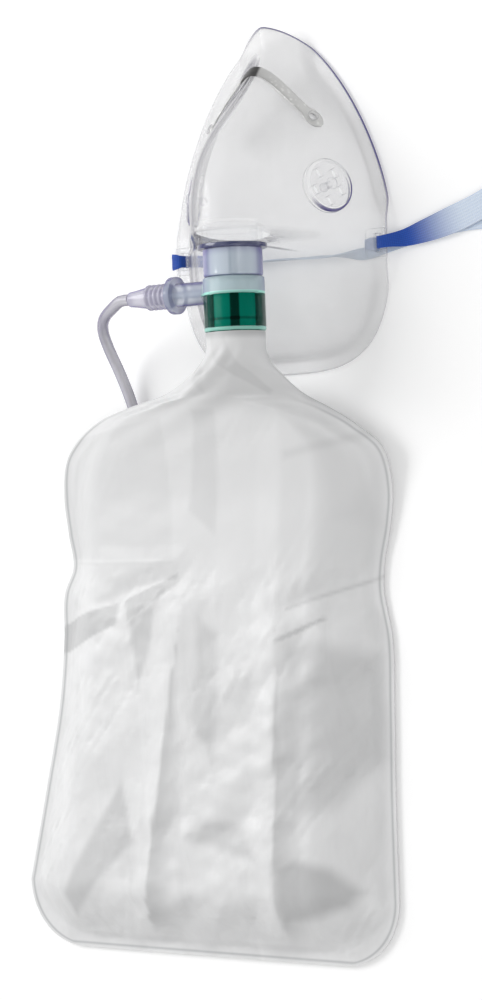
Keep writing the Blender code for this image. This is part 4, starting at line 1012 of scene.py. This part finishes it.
def dome_height(x, y, inset, shelf_y, lost):
    """Height above the rim: a low chin part and a high bulge with a shelf between."""
    step = smooth((y - shelf_y) / SHELF_DEPTH)
    chin_run = np.clip((CHIN_FULL_Y - y) / (CHIN_FULL_Y - inset), 0, 1)
    chin = (CHIN_HEIGHT - lost) * (1 - chin_run**2.6)
    bulge_end = MASK_LENGTH - BULGE_END_INSET - (inset - FLANGE_WIDTH)
    bulge_run = np.clip((y - BULGE_FULL_Y) / (bulge_end - BULGE_FULL_Y), 0, 1)
    bulge = (BULGE_HEIGHT - lost) * (1 - bulge_run**2.5) ** 1.6
    share = np.clip(np.abs(x) / np.maximum(half_width(y, inset), 1e-6), 0, 1)
    ridge = smooth((y - RIDGE_START_Y) / (MASK_LENGTH - RIDGE_START_Y))
    bulge_section = (1 - share ** (2 - 0.7 * ridge)) ** 1.6
    return chin * (1 - share**3) * (1 - step) + bulge * bulge_section * step


def outer_height(x, y):
    """Height of the outer skin."""
    return rim_height(x, y) + FLANGE_THICKNESS + dome_height(x, y, FLANGE_WIDTH, SHELF_Y, 0.0)


def inner_height(x, y):
    """Height of the inner skin, a wall's thickness inside the outer one."""
    lost = WALL - FLANGE_THICKNESS
    return rim_height(x, y) + dome_height(x, y, FLANGE_WIDTH + WALL, SHELF_Y + WALL, lost)


def skin_grid(inset):
    """Plan positions of one skin: rows from chin to nose, bowed like the outline at both ends."""
    low = np.linspace(chin_edge(CHIN_CORNER_X, inset), CHIN_BLEND_Y, SKIN_ROWS[0], endpoint=False)
    shelf = np.linspace(CHIN_BLEND_Y, NOSE_BLEND_Y, SKIN_ROWS[1], endpoint=False)
    high = np.linspace(NOSE_BLEND_Y, nose_edge(NOSE_CORNER_X, inset), SKIN_ROWS[2])
    rows = np.concatenate([low, shelf, high])[:, None]
    turn = np.linspace(-0.5, 0.5, SKIN_COLUMNS + 1) * math.pi * 0.86
    across = np.sin(turn) / math.sin(0.43 * math.pi)
    chin_bow = chin_edge(CHIN_CORNER_X, inset) - chin_edge(across * CHIN_CORNER_X, inset)
    nose_bow = nose_edge(across * NOSE_CORNER_X, inset) - nose_edge(NOSE_CORNER_X, inset)
    chin_share = np.clip((CHIN_BLEND_Y - rows) / (CHIN_BLEND_Y - rows[0]), 0, 1) ** 2
    nose_share = np.clip((rows - NOSE_BLEND_Y) / (rows[-1] - NOSE_BLEND_Y), 0, 1) ** 2
    return across * half_width(rows, inset), rows - chin_bow * chin_share + nose_bow * nose_share


def around(grid):
    """The grid's border from its first corner, anticlockwise seen from above."""
    return np.concatenate([grid[0, :-1], grid[:-1, -1], grid[-1, :0:-1], grid[:0:-1, 0]])


def shell_mesh(finish):
    """Outer skin, flange with a rounded edge and inner skin as one closed surface."""
    outer_x, outer_y = skin_grid(FLANGE_WIDTH)
    inner_x, inner_y = skin_grid(FLANGE_WIDTH + WALL)
    size = outer_x.size
    border = around(np.arange(size).reshape(outer_x.shape))
    quads = grid_quads(*outer_x.shape)
    outer = np.stack([outer_x, outer_y, outer_height(outer_x, outer_y)], axis=-1)
    inner = np.stack([inner_x, inner_y, inner_height(inner_x, inner_y)], axis=-1)
    points = [outer.reshape(-1, 3), inner.reshape(-1, 3)]
    edge_radius = FLANGE_THICKNESS / 2
    turns = np.linspace(0.5 * math.pi, -0.5 * math.pi, 9)
    flange = [(inset, 1.0) for inset in (4 * MM, 2.5 * MM)]
    flange += [(edge_radius * (1 - math.cos(a)), 0.5 + 0.5 * math.sin(a)) for a in turns]
    flange += [(inset, 0.0) for inset in (2.5 * MM, 4.5 * MM)]
    for inset, share in flange:
        x, y = (around(part) for part in skin_grid(inset))
        points.append(np.stack([x, y, rim_height(x, y) + share * FLANGE_THICKNESS], axis=-1))
    loop = np.arange(len(border))
    loops = [border, *(2 * size + k * len(border) + loop for k in range(len(flange))), size + border]
    faces = [quads, size + quads[:, ::-1]]
    for inside, outside in zip(loops, loops[1:]):
        faces.append(np.stack([inside, np.roll(inside, 1), np.roll(outside, 1), outside], axis=-1))
    return closed_mesh("mask_body", np.concatenate(points), np.concatenate(faces), finish)


def surface_frame(x, y):
    """Place and outward normal of the outer skin at a plan position."""
    step = 0.5 * MM
    slope_x = (outer_height(x + step, y) - outer_height(x - step, y)) / (2 * step)
    slope_y = (outer_height(x, y + step) - outer_height(x, y - step)) / (2 * step)
    return np.array([x, y, float(outer_height(x, y))]), unit(np.array([-slope_x, -slope_y, 1.0]))


def port_frame(side):
    """Place and normal of the port on one side, -1 or 1."""
    return surface_frame(side * PORT_X, PORT_Y)


def clip_line(share):
    """The strip's middle line on the shell, share running from -1 at left to 1 at right."""
    x = share * CLIP_REACH
    y = CLIP_TOP_Y - CLIP_SWEEP * (math.sqrt(share * share + 0.04) - 0.2) / 0.82
    return surface_frame(x, y)


def clip_end(side):
    """The middle of one lobe of the strip, where its hole and the stud are."""
    return clip_line(side * (1 - 0.8 * CLIP_LOBE_OD / 2 / CLIP_REACH))


def stud_profile():
    """A pin with a flat head that holds the strip down."""
    head = 3 * GAP + CLIP_THICKNESS
    top = head + STUD_HEAD_HEIGHT
    radius = STUD_OD / 2
    edge = STUD_HEAD_OD / 2
    return [(0, -0.8 * MM), (radius, -0.8 * MM), (radius, head), (edge, head), (edge, top), (0, top)]


def add_port(shell, side, finish):
    """A seat with a stem hole and a circle of holes, square to the skin."""
    place, normal = port_frame(side)
    seat = disc_profile(PORT_SEAT_OD / 2, -PORT_SEAT_DEPTH, PORT_SEAT_PROUD)
    boolean(shell, turned("tool", seat, place, normal, finish, 96, 0.3 * MM), "UNION")
    sideways = unit(np.cross(normal, AXIS_WAY))
    upward = np.cross(normal, sideways)
    drill(shell, VALVE_STEM_OD / 2 + GAP, *PORT_DRILLED, place, normal, 24)
    for k in range(PORT_HOLES):
        angle = 2 * math.pi * (k + 0.25) / PORT_HOLES
        off = PORT_HOLE_CIRCLE / 2 * (math.cos(angle) * sideways + math.sin(angle) * upward)
        drill(shell, PORT_HOLE_OD / 2, *PORT_DRILLED, place + off, normal, 32)


def add_eyelet(shell, side):
    """A pad on the flange with a slot through both."""
    low = CHEEK_ARCH + FLANGE_THICKNESS / 2
    height = EYELET_HEIGHT + FLANGE_THICKNESS / 2
    x = side * (MASK_HALF_WIDTH - EYELET_WIDTH / 2 - 0.3 * MM)
    pad = box_tool((EYELET_WIDTH, EYELET_LENGTH, height), (x, EYELET_Y, low + height / 2))
    boolean(shell, pad, "UNION")
    slot = box_tool((SLOT_WIDTH, SLOT_LENGTH, 12 * MM), (side * SLOT_X, EYELET_Y, low))
    boolean(shell, slot, "DIFFERENCE")


def mark_shell(mesh):
    """Numbers for the material: edge is 1 on the rim's cut edge, seat is 1 on the seat ring.

    The ports' seats have half that number.
    """
    points = np.empty(len(mesh.vertices) * 3)
    mesh.vertices.foreach_get("co", points)
    points = points.reshape(-1, 3) - ROW_SHIFT
    x, y, z = points.T
    inside = np.minimum(half_width(y) - np.abs(x), np.minimum(y - chin_edge(x), nose_edge(x) - y))
    low = z - rim_height(x, y) < FLANGE_THICKNESS + 0.1 * MM
    from_axis = np.hypot(x, z - AXIS_Z)
    seat = smooth((SEAT_RING_OD / 2 + 0.8 * MM - from_axis) / (0.6 * MM))
    seat = seat * (np.abs(y - SEAT_START) < 8 * MM)
    for side in (-1, 1):
        place, normal = port_frame(side)
        off = points - place
        depth = off @ normal
        reach = np.linalg.norm(off - depth[:, None] * normal, axis=1)
        port = smooth((PORT_SEAT_OD / 2 + 0.2 * MM - reach) / (0.6 * MM)) * (np.abs(depth) < 4 * MM)
        seat = np.maximum(seat, 0.5 * port)
    add_layers(mesh, {"edge": smooth(1.3 - inside / (0.6 * MM)) * low, "seat": seat})


def make_shell():
    finish = clear_vinyl()
    shell = shell_mesh(finish)
    seat_end = SEAT_START + SEAT_RING_LENGTH
    ring = disc_profile(SEAT_RING_OD / 2, SEAT_START, seat_end)
    boolean(shell, on_airway("tool", ring, finish, 96, 0.3 * MM), "UNION")
    drill(shell, CONNECTOR_OD / 2 + GAP, SEAT_START - MM, seat_end + MM, AXIS_BASE, AXIS_WAY, 96)
    for side in (-1, 1):
        add_port(shell, side, finish)
        add_eyelet(shell, side)
        boolean(shell, turned("tool", stud_profile(), *clip_end(side), finish, 32, 0.2 * MM), "UNION")
    mark_shell(shell.data)
    refinish(shell, finish)
    add_piece(shell, "clear_vinyl", "mask_shell", sharp=38)


def make_clip():
    """A strip with rounded edges bent over the ridge, a round lobe at each end."""
    finish = soft_aluminium()
    span, lift = soft_section(16, 0.35, 0.6)
    loops = []
    for share in np.linspace(-1, 1, 161):
        place, normal = clip_line(share)
        along = unit(clip_line(share + 0.02)[0] - clip_line(share - 0.02)[0])
        across = unit(np.cross(normal, along))
        up = np.cross(along, across)
        from_end = (1 - abs(share)) * CLIP_REACH * CLIP_SLOPE_LENGTH
        lobe = CLIP_LOBE_OD / 2
        lobe_width = math.sqrt(max(lobe**2 - (from_end - lobe) ** 2, 0))
        neck = CLIP_WIDTH / 2 * smooth((from_end - 0.8 * lobe) / (0.6 * lobe))
        width = max(neck, lobe_width, 1.0 * MM)
        base = place + up * (GAP + CLIP_CLEARANCE + CLIP_THICKNESS / 2)
        loops.append(base + span[:, None] * width * across + lift[:, None] * CLIP_THICKNESS / 2 * up)
    clip = lofted("clip_strip", np.array(loops), finish)
    for side in (-1, 1):
        drill(clip, CLIP_HOLE_OD / 2, -2 * MM, 4 * MM, *clip_end(side), 32, "EXACT")
    refinish(clip, finish)
    add_piece(clip, "soft_aluminium", "nose_clip")


def make_valves():
    """Umbrella valves: a disc with a knob, and a stem that a bulb holds in the port's middle hole."""
    finish = clear_silicone()
    base = PORT_SEAT_PROUD + GAP
    edge = VALVE_OD / 2
    stem = VALVE_STEM_OD / 2
    knob = VALVE_KNOB_OD / 2
    bulb = stem + 0.7 * MM
    under = -PORT_SEAT_DEPTH - GAP
    profile = [
        (0, under - 2.2 * MM),
        (stem, under - 1.8 * MM),
        (bulb, under - 0.6 * MM),
        (bulb, under),
        (stem, under),
        (stem, base),
        (edge, base),
        (edge, base + 0.5 * VALVE_THICKNESS),
        (edge - 1.2 * MM, base + VALVE_THICKNESS),
        (knob, base + VALVE_THICKNESS),
        (knob, base + 2 * VALVE_THICKNESS),
        (0.6 * knob, base + 2.6 * VALVE_THICKNESS),
        (0, base + 2.8 * VALVE_THICKNESS),
    ]
    for side, name in ((-1, "left"), (1, "right")):
        place, normal = port_frame(side)
        valve = turned(f"valve_{name}", profile, place, normal, finish)
        add_piece(valve, "clear_silicone", f"exhale_valve_{name}")


# Airway


def make_sleeve():
    """A tube with a flange before the seat ring and a snap lip behind it."""
    barrel = CONNECTOR_OD / 2
    inner_end = SEAT_START + SEAT_RING_LENGTH + GAP
    profile = [
        (SLEEVE_BORE, SLEEVE_BOTTOM),
        (barrel - 0.4 * MM, SLEEVE_BOTTOM),
        (barrel, SLEEVE_BOTTOM + 0.6 * MM),
        (barrel, SLEEVE_FLANGE_Y),
        (SLEEVE_FLANGE_OD / 2, SLEEVE_FLANGE_Y),
        (SLEEVE_FLANGE_OD / 2, SLEEVE_TOP),
        (barrel, SLEEVE_TOP),
        (barrel, inner_end),
        (SNAP_LIP_OD / 2, inner_end),
        (SNAP_LIP_OD / 2 - 0.3 * MM, inner_end + 1 * MM),
        (barrel - 0.6 * MM, inner_end + 2 * MM),
        (SLEEVE_BORE, inner_end + 2 * MM),
    ]
    add_piece(on_airway("sleeve", profile, pale_blue_plastic()), "pale_blue_plastic", "mask_connector")


def make_tee():
    """A tube with a spigot for the sleeve, a wall across it for the disc and a flanged side inlet."""
    finish = cyan_clear_plastic()
    outside = TEE_OD / 2
    bore = SPIGOT_RADIUS - TEE_WALL
    spigot_end = TEE_TOP + SPIGOT_LENGTH
    body = [
        (TEE_BORE, TEE_BOTTOM),
        (outside - 0.3 * MM, TEE_BOTTOM),
        (outside, TEE_BOTTOM + 0.5 * MM),
        (outside, TEE_TOP - 0.4 * MM),
        (outside - 0.4 * MM, TEE_TOP),
        (SPIGOT_RADIUS, TEE_TOP),
        (SPIGOT_RADIUS, spigot_end - 0.6 * MM),
        (SPIGOT_RADIUS - 0.5 * MM, spigot_end),
        (bore, spigot_end),
        (bore, TEE_TOP + VALVE_SEAT_LENGTH),
        (0, TEE_TOP + VALVE_SEAT_LENGTH),
        (0, TEE_TOP),
        (bore, TEE_TOP),
        (bore, TEE_TOP - 1.5 * MM),
        (TEE_BORE, TEE_TOP - 1.5 * MM),
    ]
    tee = on_airway("tee_body", body, finish)
    barb = INLET_BARB_OD / 2
    reach = outside + INLET_LENGTH
    flange = reach - INLET_BARB_LENGTH
    inlet = [
        (0, outside - 0.6 * TEE_WALL),
        (INLET_OD / 2, outside - 0.6 * TEE_WALL),
        (INLET_OD / 2, flange - INLET_FLANGE_LENGTH),
        (INLET_FLANGE_OD / 2, flange - INLET_FLANGE_LENGTH),
        (INLET_FLANGE_OD / 2, flange),
        (barb - 0.4 * MM, flange),
        (barb - 0.4 * MM, reach - 4 * MM),
        (barb, reach - 4 * MM),
        (barb - 0.7 * MM, reach),
        (0, reach),
    ]
    boolean(tee, turned("tool", inlet, INLET_BASE, INLET_WAY, finish, 64), "UNION")
    drill(tee, INLET_BORE / 2, outside / 2, reach + MM, INLET_BASE, INLET_WAY)
    refinish(tee, finish)
    add_piece(tee, "cyan_clear_plastic", "oxygen_tee")


def make_disc_and_ring():
    """The disc on the tee's inner wall, and the green ring with its hole for the inlet."""
    low = TEE_TOP + VALVE_SEAT_LENGTH + GAP
    disc = disc_profile(SPIGOT_RADIUS - TEE_WALL - 0.8 * MM, low, low + VALVE_DISC_THICKNESS)
    flap = on_airway("bag_flap", disc, clear_silicone(), 64, 0.15 * MM)
    add_piece(flap, "clear_silicone", "bag_valve_disc")
    bore = ADAPTER_RADIUS - ADAPTER_WALL
    ring = [
        (bore, ADAPTER_BOTTOM),
        (ADAPTER_RADIUS - 0.6 * MM, ADAPTER_BOTTOM),
        (ADAPTER_RADIUS, ADAPTER_BOTTOM + 1 * MM),
        (ADAPTER_RADIUS, ADAPTER_TOP),
        (bore, ADAPTER_TOP),
    ]
    finish = green_plastic()
    adapter = on_airway("green_ring", ring, finish)
    drill(adapter, INLET_BORE, 0.3 * TEE_OD, TEE_OD, INLET_BASE, INLET_WAY)
    refinish(adapter, finish)
    add_piece(adapter, "green_plastic", "bag_adapter")


# Reservoir bag

# The bag's width from its neck down: y, left and right edge, the edges' height, and roundness
BAG_STATIONS = [
    (NECK_TOP_Y, -NECK_RADIUS, NECK_RADIUS, AXIS_Z, 1.0),
    (NECK_TOP_Y - 6 * MM, -NECK_RADIUS, NECK_RADIUS, AXIS_Z - 0.2 * MM, 1.0),
    *in_mm([
        (3.5, -17, 11.5, 35, 0.72), (-1, -28, 12.5, 28, 0.45), (-5, -40, 14, 22, 0.3),
        (-9, -60, 17, 16.5, 0.2), (-13.5, -77.5, 24, 13, 0.13), (-20.5, -90.5, 34, 10, 0.08),
        (-30, -99.6, 43, 6.5, 0.04), (-44, -103.5, 44.2, 3, 0), (-58, -103, 42.2, 1.6, 0),
        (-72, -101.8, 38.8, 1, 0), (-81, -106.2, 38, 0.8, 0), (-100, -107.6, 40.8, 0.8, 0),
        (-124, -110.6, 40.6, 0.8, 0), (-160, -119, 39.7, 0.8, 0), (-198, -128.6, 39.5, 0.8, 0),
    ], plain=1),
]
CORNER_RADIUS = 24 * MM
CORNER_TURN = 0.485 * math.pi
BAG_ACROSS = 150
BAG_ROWS = 250
CORNER_ROWS = 40
CRUMPLED_BELOW_Y = -60 * MM
# Lengthwise folds of the upper film: y, x and rise along each, in millimetres
LENGTHWISE_FOLDS = [
    [
        (4, 9.2, 0),
        (-4, 8.6, 0.3),
        (-30, 7, 0.7),
        (-74, 3, 1),
        (-99, 0.5, 1.3),
        (-160, -2, 1.9),
        (-212, -4.5, 1.5),
        (-221, -5, 0),
    ],
    [
        (-74, -36.4, 0),
        (-84, -38.4, 1.2),
        (-115, -45.4, 1.6),
        (-142, -49.9, 1.8),
        (-212, -64, 1.5),
        (-221, -66, 0),
    ],
]
# Folds across it, in millimetres: start, end, half width and rise, a valley's rise being negative
CROSS_FOLDS = [
    (-94, -70, -42, -70, 7, 0.8),
    (-98, -89, -42, -75, 7, -1.5),
    (4, -87, 38, -76, 7, -1.3),
]


def bag_outline():
    """Stations read as smooth rows, with the two rounded bottom corners added as an arc."""
    rows = evenly(through(BAG_STATIONS, 24), count=BAG_ROWS)
    last = rows[-1]
    angle = CORNER_TURN * np.arange(1, CORNER_ROWS + 1) / CORNER_ROWS
    inward = CORNER_RADIUS * (1 - np.cos(angle))
    y = last[0] - (last[0] - BAG_BOTTOM_Y) * np.sin(angle) / math.sin(CORNER_TURN)
    z = np.full_like(y, last[3])
    corners = np.stack([y, last[1] + inward, last[2] - inward, z, last[4] * np.cos(angle)], axis=1)
    return np.concatenate([rows, corners])


def fold_height(x, y):
    """Folds of the upper film: each is a tent over its line, rise (1 - distance / half width)."""
    height = np.zeros(x.shape)
    for rows in LENGTHWISE_FOLDS:
        line_y, line_x, rise = in_mm(rows[::-1]).T
        tent = np.clip(1 - np.abs(x - np.interp(y, line_y, line_x)) / FOLD_HALF_WIDTH, 0, 1)
        height += np.interp(y, line_y, rise, 0, 0) * tent
    for start_x, start_y, end_x, end_y, half, rise in in_mm(CROSS_FOLDS):
        run_x, run_y = end_x - start_x, end_y - start_y
        share = ((x - start_x) * run_x + (y - start_y) * run_y) / (run_x**2 + run_y**2)
        share = np.clip(share, 0, 1)
        away = np.hypot(x - start_x - share * run_x, y - start_y - share * run_y)
        height += rise * np.clip(1 - away / half, 0, 1)
    return height


def crumple_height(x, y, seed, pitches, depth):
    """Straight folds in chance directions: a sum of triangle waves, each bent by those before it."""
    chance = np.random.default_rng(seed)
    height = np.zeros(x.shape)
    bend = np.zeros(x.shape)
    for pitch in pitches:
        way = chance.uniform(0, math.pi)
        shift = chance.uniform(0, 1)
        run = (x * math.cos(way) + y * math.sin(way) + 2.5 * bend) / pitch + shift
        wave = np.abs((run % 1) * 2 - 1) - 0.5
        height += depth * wave * pitch / pitches[0]
        bend += 0.3 * depth * wave
    return height


def crumpled_share(y):
    """1 below the cross folds, where the film is crumpled, and 0 near the neck."""
    return smooth((CRUMPLED_BELOW_Y - y) / (25 * MM))


def film_height(x, y):
    """Folds, and the crumples of the film, which are weak above the cross folds."""
    crumpled = 0.2 + 0.8 * crumpled_share(y)
    main = crumple_height(x, y, 7, CRUMPLE_PITCHES, CRUMPLE_DEPTH)
    fine = crumple_height(x, y, 21, WRINKLE_PITCHES, WRINKLE_DEPTH)
    drift = crumple_height(x, y, 5, PATCH_PITCHES, 1)
    patches = 0.15 + 0.85 * smooth(drift * 1.6 + 0.5)
    return fold_height(x, y) + crumpled * (main + fine * patches)


# Patches of painted shade on the film, where it turns from the light and where it lies doubled: corners
# in millimetres, soft edge and depth
FILM_SHADE_PATCHES = [
    ([(-109, -95), (-97.4, -90.5), (-69.5, -84.3), (-69.5, -93.5), (-96, -103.5), (-109, -107)],
     1.2, 0.6),
    ([(-67, -83.5), (-39.6, -72.6), (-40.6, -78), (-50, -84), (-66, -93.5)], 1.2, 0.55),
    ([(-66, -90), (-50, -84), (-54, -104), (-62, -122)], 3, 0.45),
    ([(0.6, -98.4), (20, -90.4), (21, -92.6), (1.4, -101.8)], 1.3, 0.6),
    ([(4, -87), (45, -73.6), (45, -76.4), (4, -89.8)], 1.5, 0.4),
    ([(-1.5, -96), (14, -94), (41, -104), (42, -146), (22, -166), (-7, -172)], 9, 0.38),
    ([(-6, -181.5), (5.5, -178.5), (20, -182.5), (31.5, -194.2), (24.8, -202), (6, -208.5),
      (-7, -212)], 6, 0.7),
    ([(6.9, -28), (42, -20), (42.6, -26), (7, -34)], 3, 0.2),
    ([(43, -28), (19.5, -55.6), (44, -66)], 8, 0.12),
    ([(-104, -22), (-41.4, -13), (-42.4, -68.6), (-104, -68.6)], 1.5, 0.14),
    ([(-27.5, -11), (-16, -11), (-22.5, -62), (-36, -50)], 2.5, 0.22),
    ([(-6, 14), (2, 14), (8.5, -7), (5.5, -9), (-5, 4)], 1.5, 0.22),
    ([(-17, 12), (-8, 14), (-11, 0), (-18, -9), (-22, -2)], 3, 0.25),
    ([(-70, -150), (-104.8, -200), (-102, -213), (-64, -178)], 3.5, 0.45),
    ([(-33, -88), (-22, -96), (-22, -120), (-28, -152), (-40, -130)], 5, 0.42),
    ([(-36, -165), (-14, -168), (-8, -186), (-46, -176)], 5, 0.35),
    ([(-99, -69.4), (-42, -69.4), (-42, -70.4), (-99, -70.4)], 0.8, 0.35),
]


def patch(x, y, corners, soft):
    """1 inside a convex outline and 0 outside, rising over the soft width inside its edge."""
    outline = np.array(corners) * MM
    middle = outline.mean(axis=0)
    inside = np.full(x.shape, np.inf)
    for start, end in zip(outline, np.roll(outline, -1, axis=0)):
        across = unit(np.array([start[1] - end[1], end[0] - start[0]]))
        across *= np.sign(across.dot(middle - start))
        inside = np.minimum(inside, (x - start[0]) * across[0] + (y - start[1]) * across[1])
    return smooth(inside / (soft * MM))


def fold_shade(x, y):
    """Painted shade on the film: the patches above, and a wedge beside each lengthwise fold, on its
    side turned from the light, that widens downwards.
    """
    shade = np.zeros(x.shape)
    for rows in LENGTHWISE_FOLDS:
        line_y, line_x = in_mm(rows[::-1])[:, :2].T
        off = x - np.interp(y, line_y, line_x)
        width = WEDGE_WIDTH * smooth((-80 * MM - y) / (110 * MM)) + 0.1 * MM
        inside = smooth(off / (0.6 * MM)) * (1 - smooth(off / width))
        shade = np.maximum(shade, 0.55 * inside * smooth((y - BAG_BOTTOM_Y - 8 * MM) / (10 * MM)))
    for corners, soft, depth in FILM_SHADE_PATCHES:
        shade = np.maximum(shade, depth * patch(x, y, corners, soft))
    return shade


def make_bag():
    """The film pouch: a round neck over the adapter's tail that flattens and is lifted over the coil.

    Each row is a loop at angle a: its width goes with cos a, and sin a tells upper film from lower.
    """
    rows = bag_outline()
    y, left, right, edge_z, roundness = (column[:, None] for column in rows.T)
    sides = 2 * BAG_ACROSS
    angle = 2 * math.pi * (np.arange(sides) + 0.5) / sides
    span = np.cos(angle)
    top_side = np.sin(angle) > 0
    bulge = np.abs(np.sin(angle))
    half = (right - left) / 2
    x = (left + right) / 2 + half * span
    end_share = smooth((y - BAG_BOTTOM_Y) / BAG_END_TAPER)
    flat = 1 - roundness
    lift = BAG_LIFT * smooth((1 - np.abs(span)) / BAG_LIFT_SHARE) * end_share
    softer = 0.5 * (edge_z + lift + np.hypot(edge_z - lift, 3 * MM * smooth(lift / (6 * MM))))
    base = np.maximum(edge_z, softer) * flat + edge_z * (1 - flat)
    high = half * roundness * bulge
    slope = np.gradient(half[:, 0], y[:, 0])[:, None]
    from_edge = half * (1 - np.abs(span)) / np.sqrt(1 + slope**2)
    from_edge = np.minimum(from_edge, y - BAG_BOTTOM_Y)
    weld_share = smooth((from_edge - WELD_WIDTH) / (6 * MM))
    puff = BAG_HALF_THICKNESS * (0.25 + 0.75 * end_share) * bulge**1.4 * (0.2 + 0.8 * weld_share)
    pouch = flat * (BAG_SEAM / 2 + puff)
    top = base + pouch * (1 + top_side) + high
    yy = np.broadcast_to(y, x.shape)
    film = film_height(x, yy) * flat * smooth(3 * bulge - 0.2) * weld_share
    in_neck = smooth((y + 34 * MM) / (26 * MM)) * smooth((NECK_TOP_Y - 3 * MM - y) / (7 * MM))
    film = film + GATHER_DEPTH * np.cos(GATHERS * angle + 40 * y / (100 * MM)) * in_neck * bulge
    z = np.where(top_side, top + film, base - high + 0.1 * film)
    z = np.maximum(z, BAG_FLOOR)
    outside = np.stack([x, yy, z], axis=-1)
    share = (ADAPTER_RADIUS + GAP) / NECK_RADIUS
    inside = []
    for reach in (ADAPTER_BOTTOM - 1.5 * MM, NECK_TOP_Y):
        ring = outside[0].copy()
        ring[:, 0] *= share
        ring[:, 2] = AXIS_Z + (ring[:, 2] - AXIS_Z) * share
        ring[:, 1] = reach
        inside.append(ring)
    points = np.concatenate([inside, outside])
    from_edge = np.concatenate([np.ones((2, sides)), from_edge])
    below_neck = smooth((ADAPTER_BOTTOM - 14 * MM - points[..., 1]) / (14 * MM))
    layers = {
        "weld": np.exp(-(((from_edge / MM - 1.5) / 0.5) ** 2)) * below_neck,
        "crumpled": crumpled_share(points[..., 1]),
        "shade": fold_shade(points[..., 0], points[..., 1]),
    }
    bag = lofted("film_bag", points, bag_film(), layers)
    add_piece(bag, "bag_film", "reservoir_bag", sharp=50)


# Floor and light


FLOOR_HALF_WIDTH = 4
LIGHTS_AIM = Vector((-0.02, -0.04, 0.02))


def make_stage():
    """A pale floor. Where it is seen, straight or in a clear or glossy piece, it glows a little."""
    f = Finish("pale_floor")
    plain = f.shader((0.90, 0.90, 0.90), 0.9, Specular_IOR_Level=0.1)
    path = f.node("ShaderNodeLightPath")
    paths = path.socket.node.outputs
    seen = sum((Value(f, paths[key]) for key in ("Is Glossy Ray", "Is Transmission Ray")), path)
    light = {"Color": (1, 1, 1, 1), "Strength": seen.clamped() * 0.22}
    glow = f.node("ShaderNodeEmission", None, light)
    f.finish(f.node("ShaderNodeAddShader", None, {0: plain, 1: glow}))
    mesh = bpy.data.meshes.new("floor")
    corners = [(-1, -1), (1, -1), (1, 1), (-1, 1)]
    points = [(x * FLOOR_HALF_WIDTH, y * FLOOR_HALF_WIDTH, -0.2 * MM) for x, y in corners]
    mesh.from_pydata(points, [], [(0, 1, 2, 3)])
    mesh.materials.append(f.made)
    link(bpy.data.objects.new("floor", mesh))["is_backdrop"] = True


def make_world():
    """Plain even light. Glossy pieces mirror a pale room, darker below and in a strip overhead."""
    world = bpy.data.worlds.new("studio")
    w = Finish("studio", world)
    mirrored = w.node("ShaderNodeLightPath", output="Is Glossy Ray")
    way = w.node("ShaderNodeTexCoord", output="Generated")
    x = w.node("ShaderNodeSeparateXYZ", None, {"Vector": way}, output="X")
    z = w.node("ShaderNodeSeparateXYZ", None, {"Vector": way}, output="Z")
    turn = x.math("ARCTAN2", x, z) - VIEW_TURN
    strip = 1 - turn.absolute().rise(math.radians(9), math.radians(22))
    room = (1 - strip * 0.8) * (0.55 + 0.45 * z.rise(0.0, 0.35))
    strength = mirrored * room + (1 - mirrored) * 0.42
    light = {"Color": (1, 1, 1, 1), "Strength": strength}
    w.finish(w.node("ShaderNodeBackground", None, light))
    bpy.context.scene.world = world


def soft_light(name, place, size, power):
    """A rectangular lamp that looks at the object."""
    data = bpy.data.lights.new(name, "AREA")
    data.shape = "RECTANGLE"
    data.size, data.size_y = size
    data.energy = power
    light = link(bpy.data.objects.new(name, data))
    light.location = place
    light.rotation_euler = (LIGHTS_AIM - light.location).to_track_quat("-Z", "Y").to_euler()


def main():
    bpy.context.scene.view_settings.view_transform = "Standard"
    bpy.context.scene.cycles.transparent_max_bounces = 32
    add_camera()
    make_tubing()
    make_strap()
    make_shell()
    make_clip()
    make_valves()
    make_sleeve()
    make_tee()
    make_disc_and_ring()
    make_bag()
    make_stage()
    make_world()
    soft_light("key", (-0.8, 0.3, 0.75), (0.5, 0.7), 7.8)
    soft_light("fill", (0.7, -0.4, 0.9), (0.8, 0.8), 3.4)
    sizes = {"cad": CAD_BOX, "visual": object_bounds()}
    as_lists = {key: [[float(v) for v in corner] for corner in box] for key, box in sizes.items()}


main()
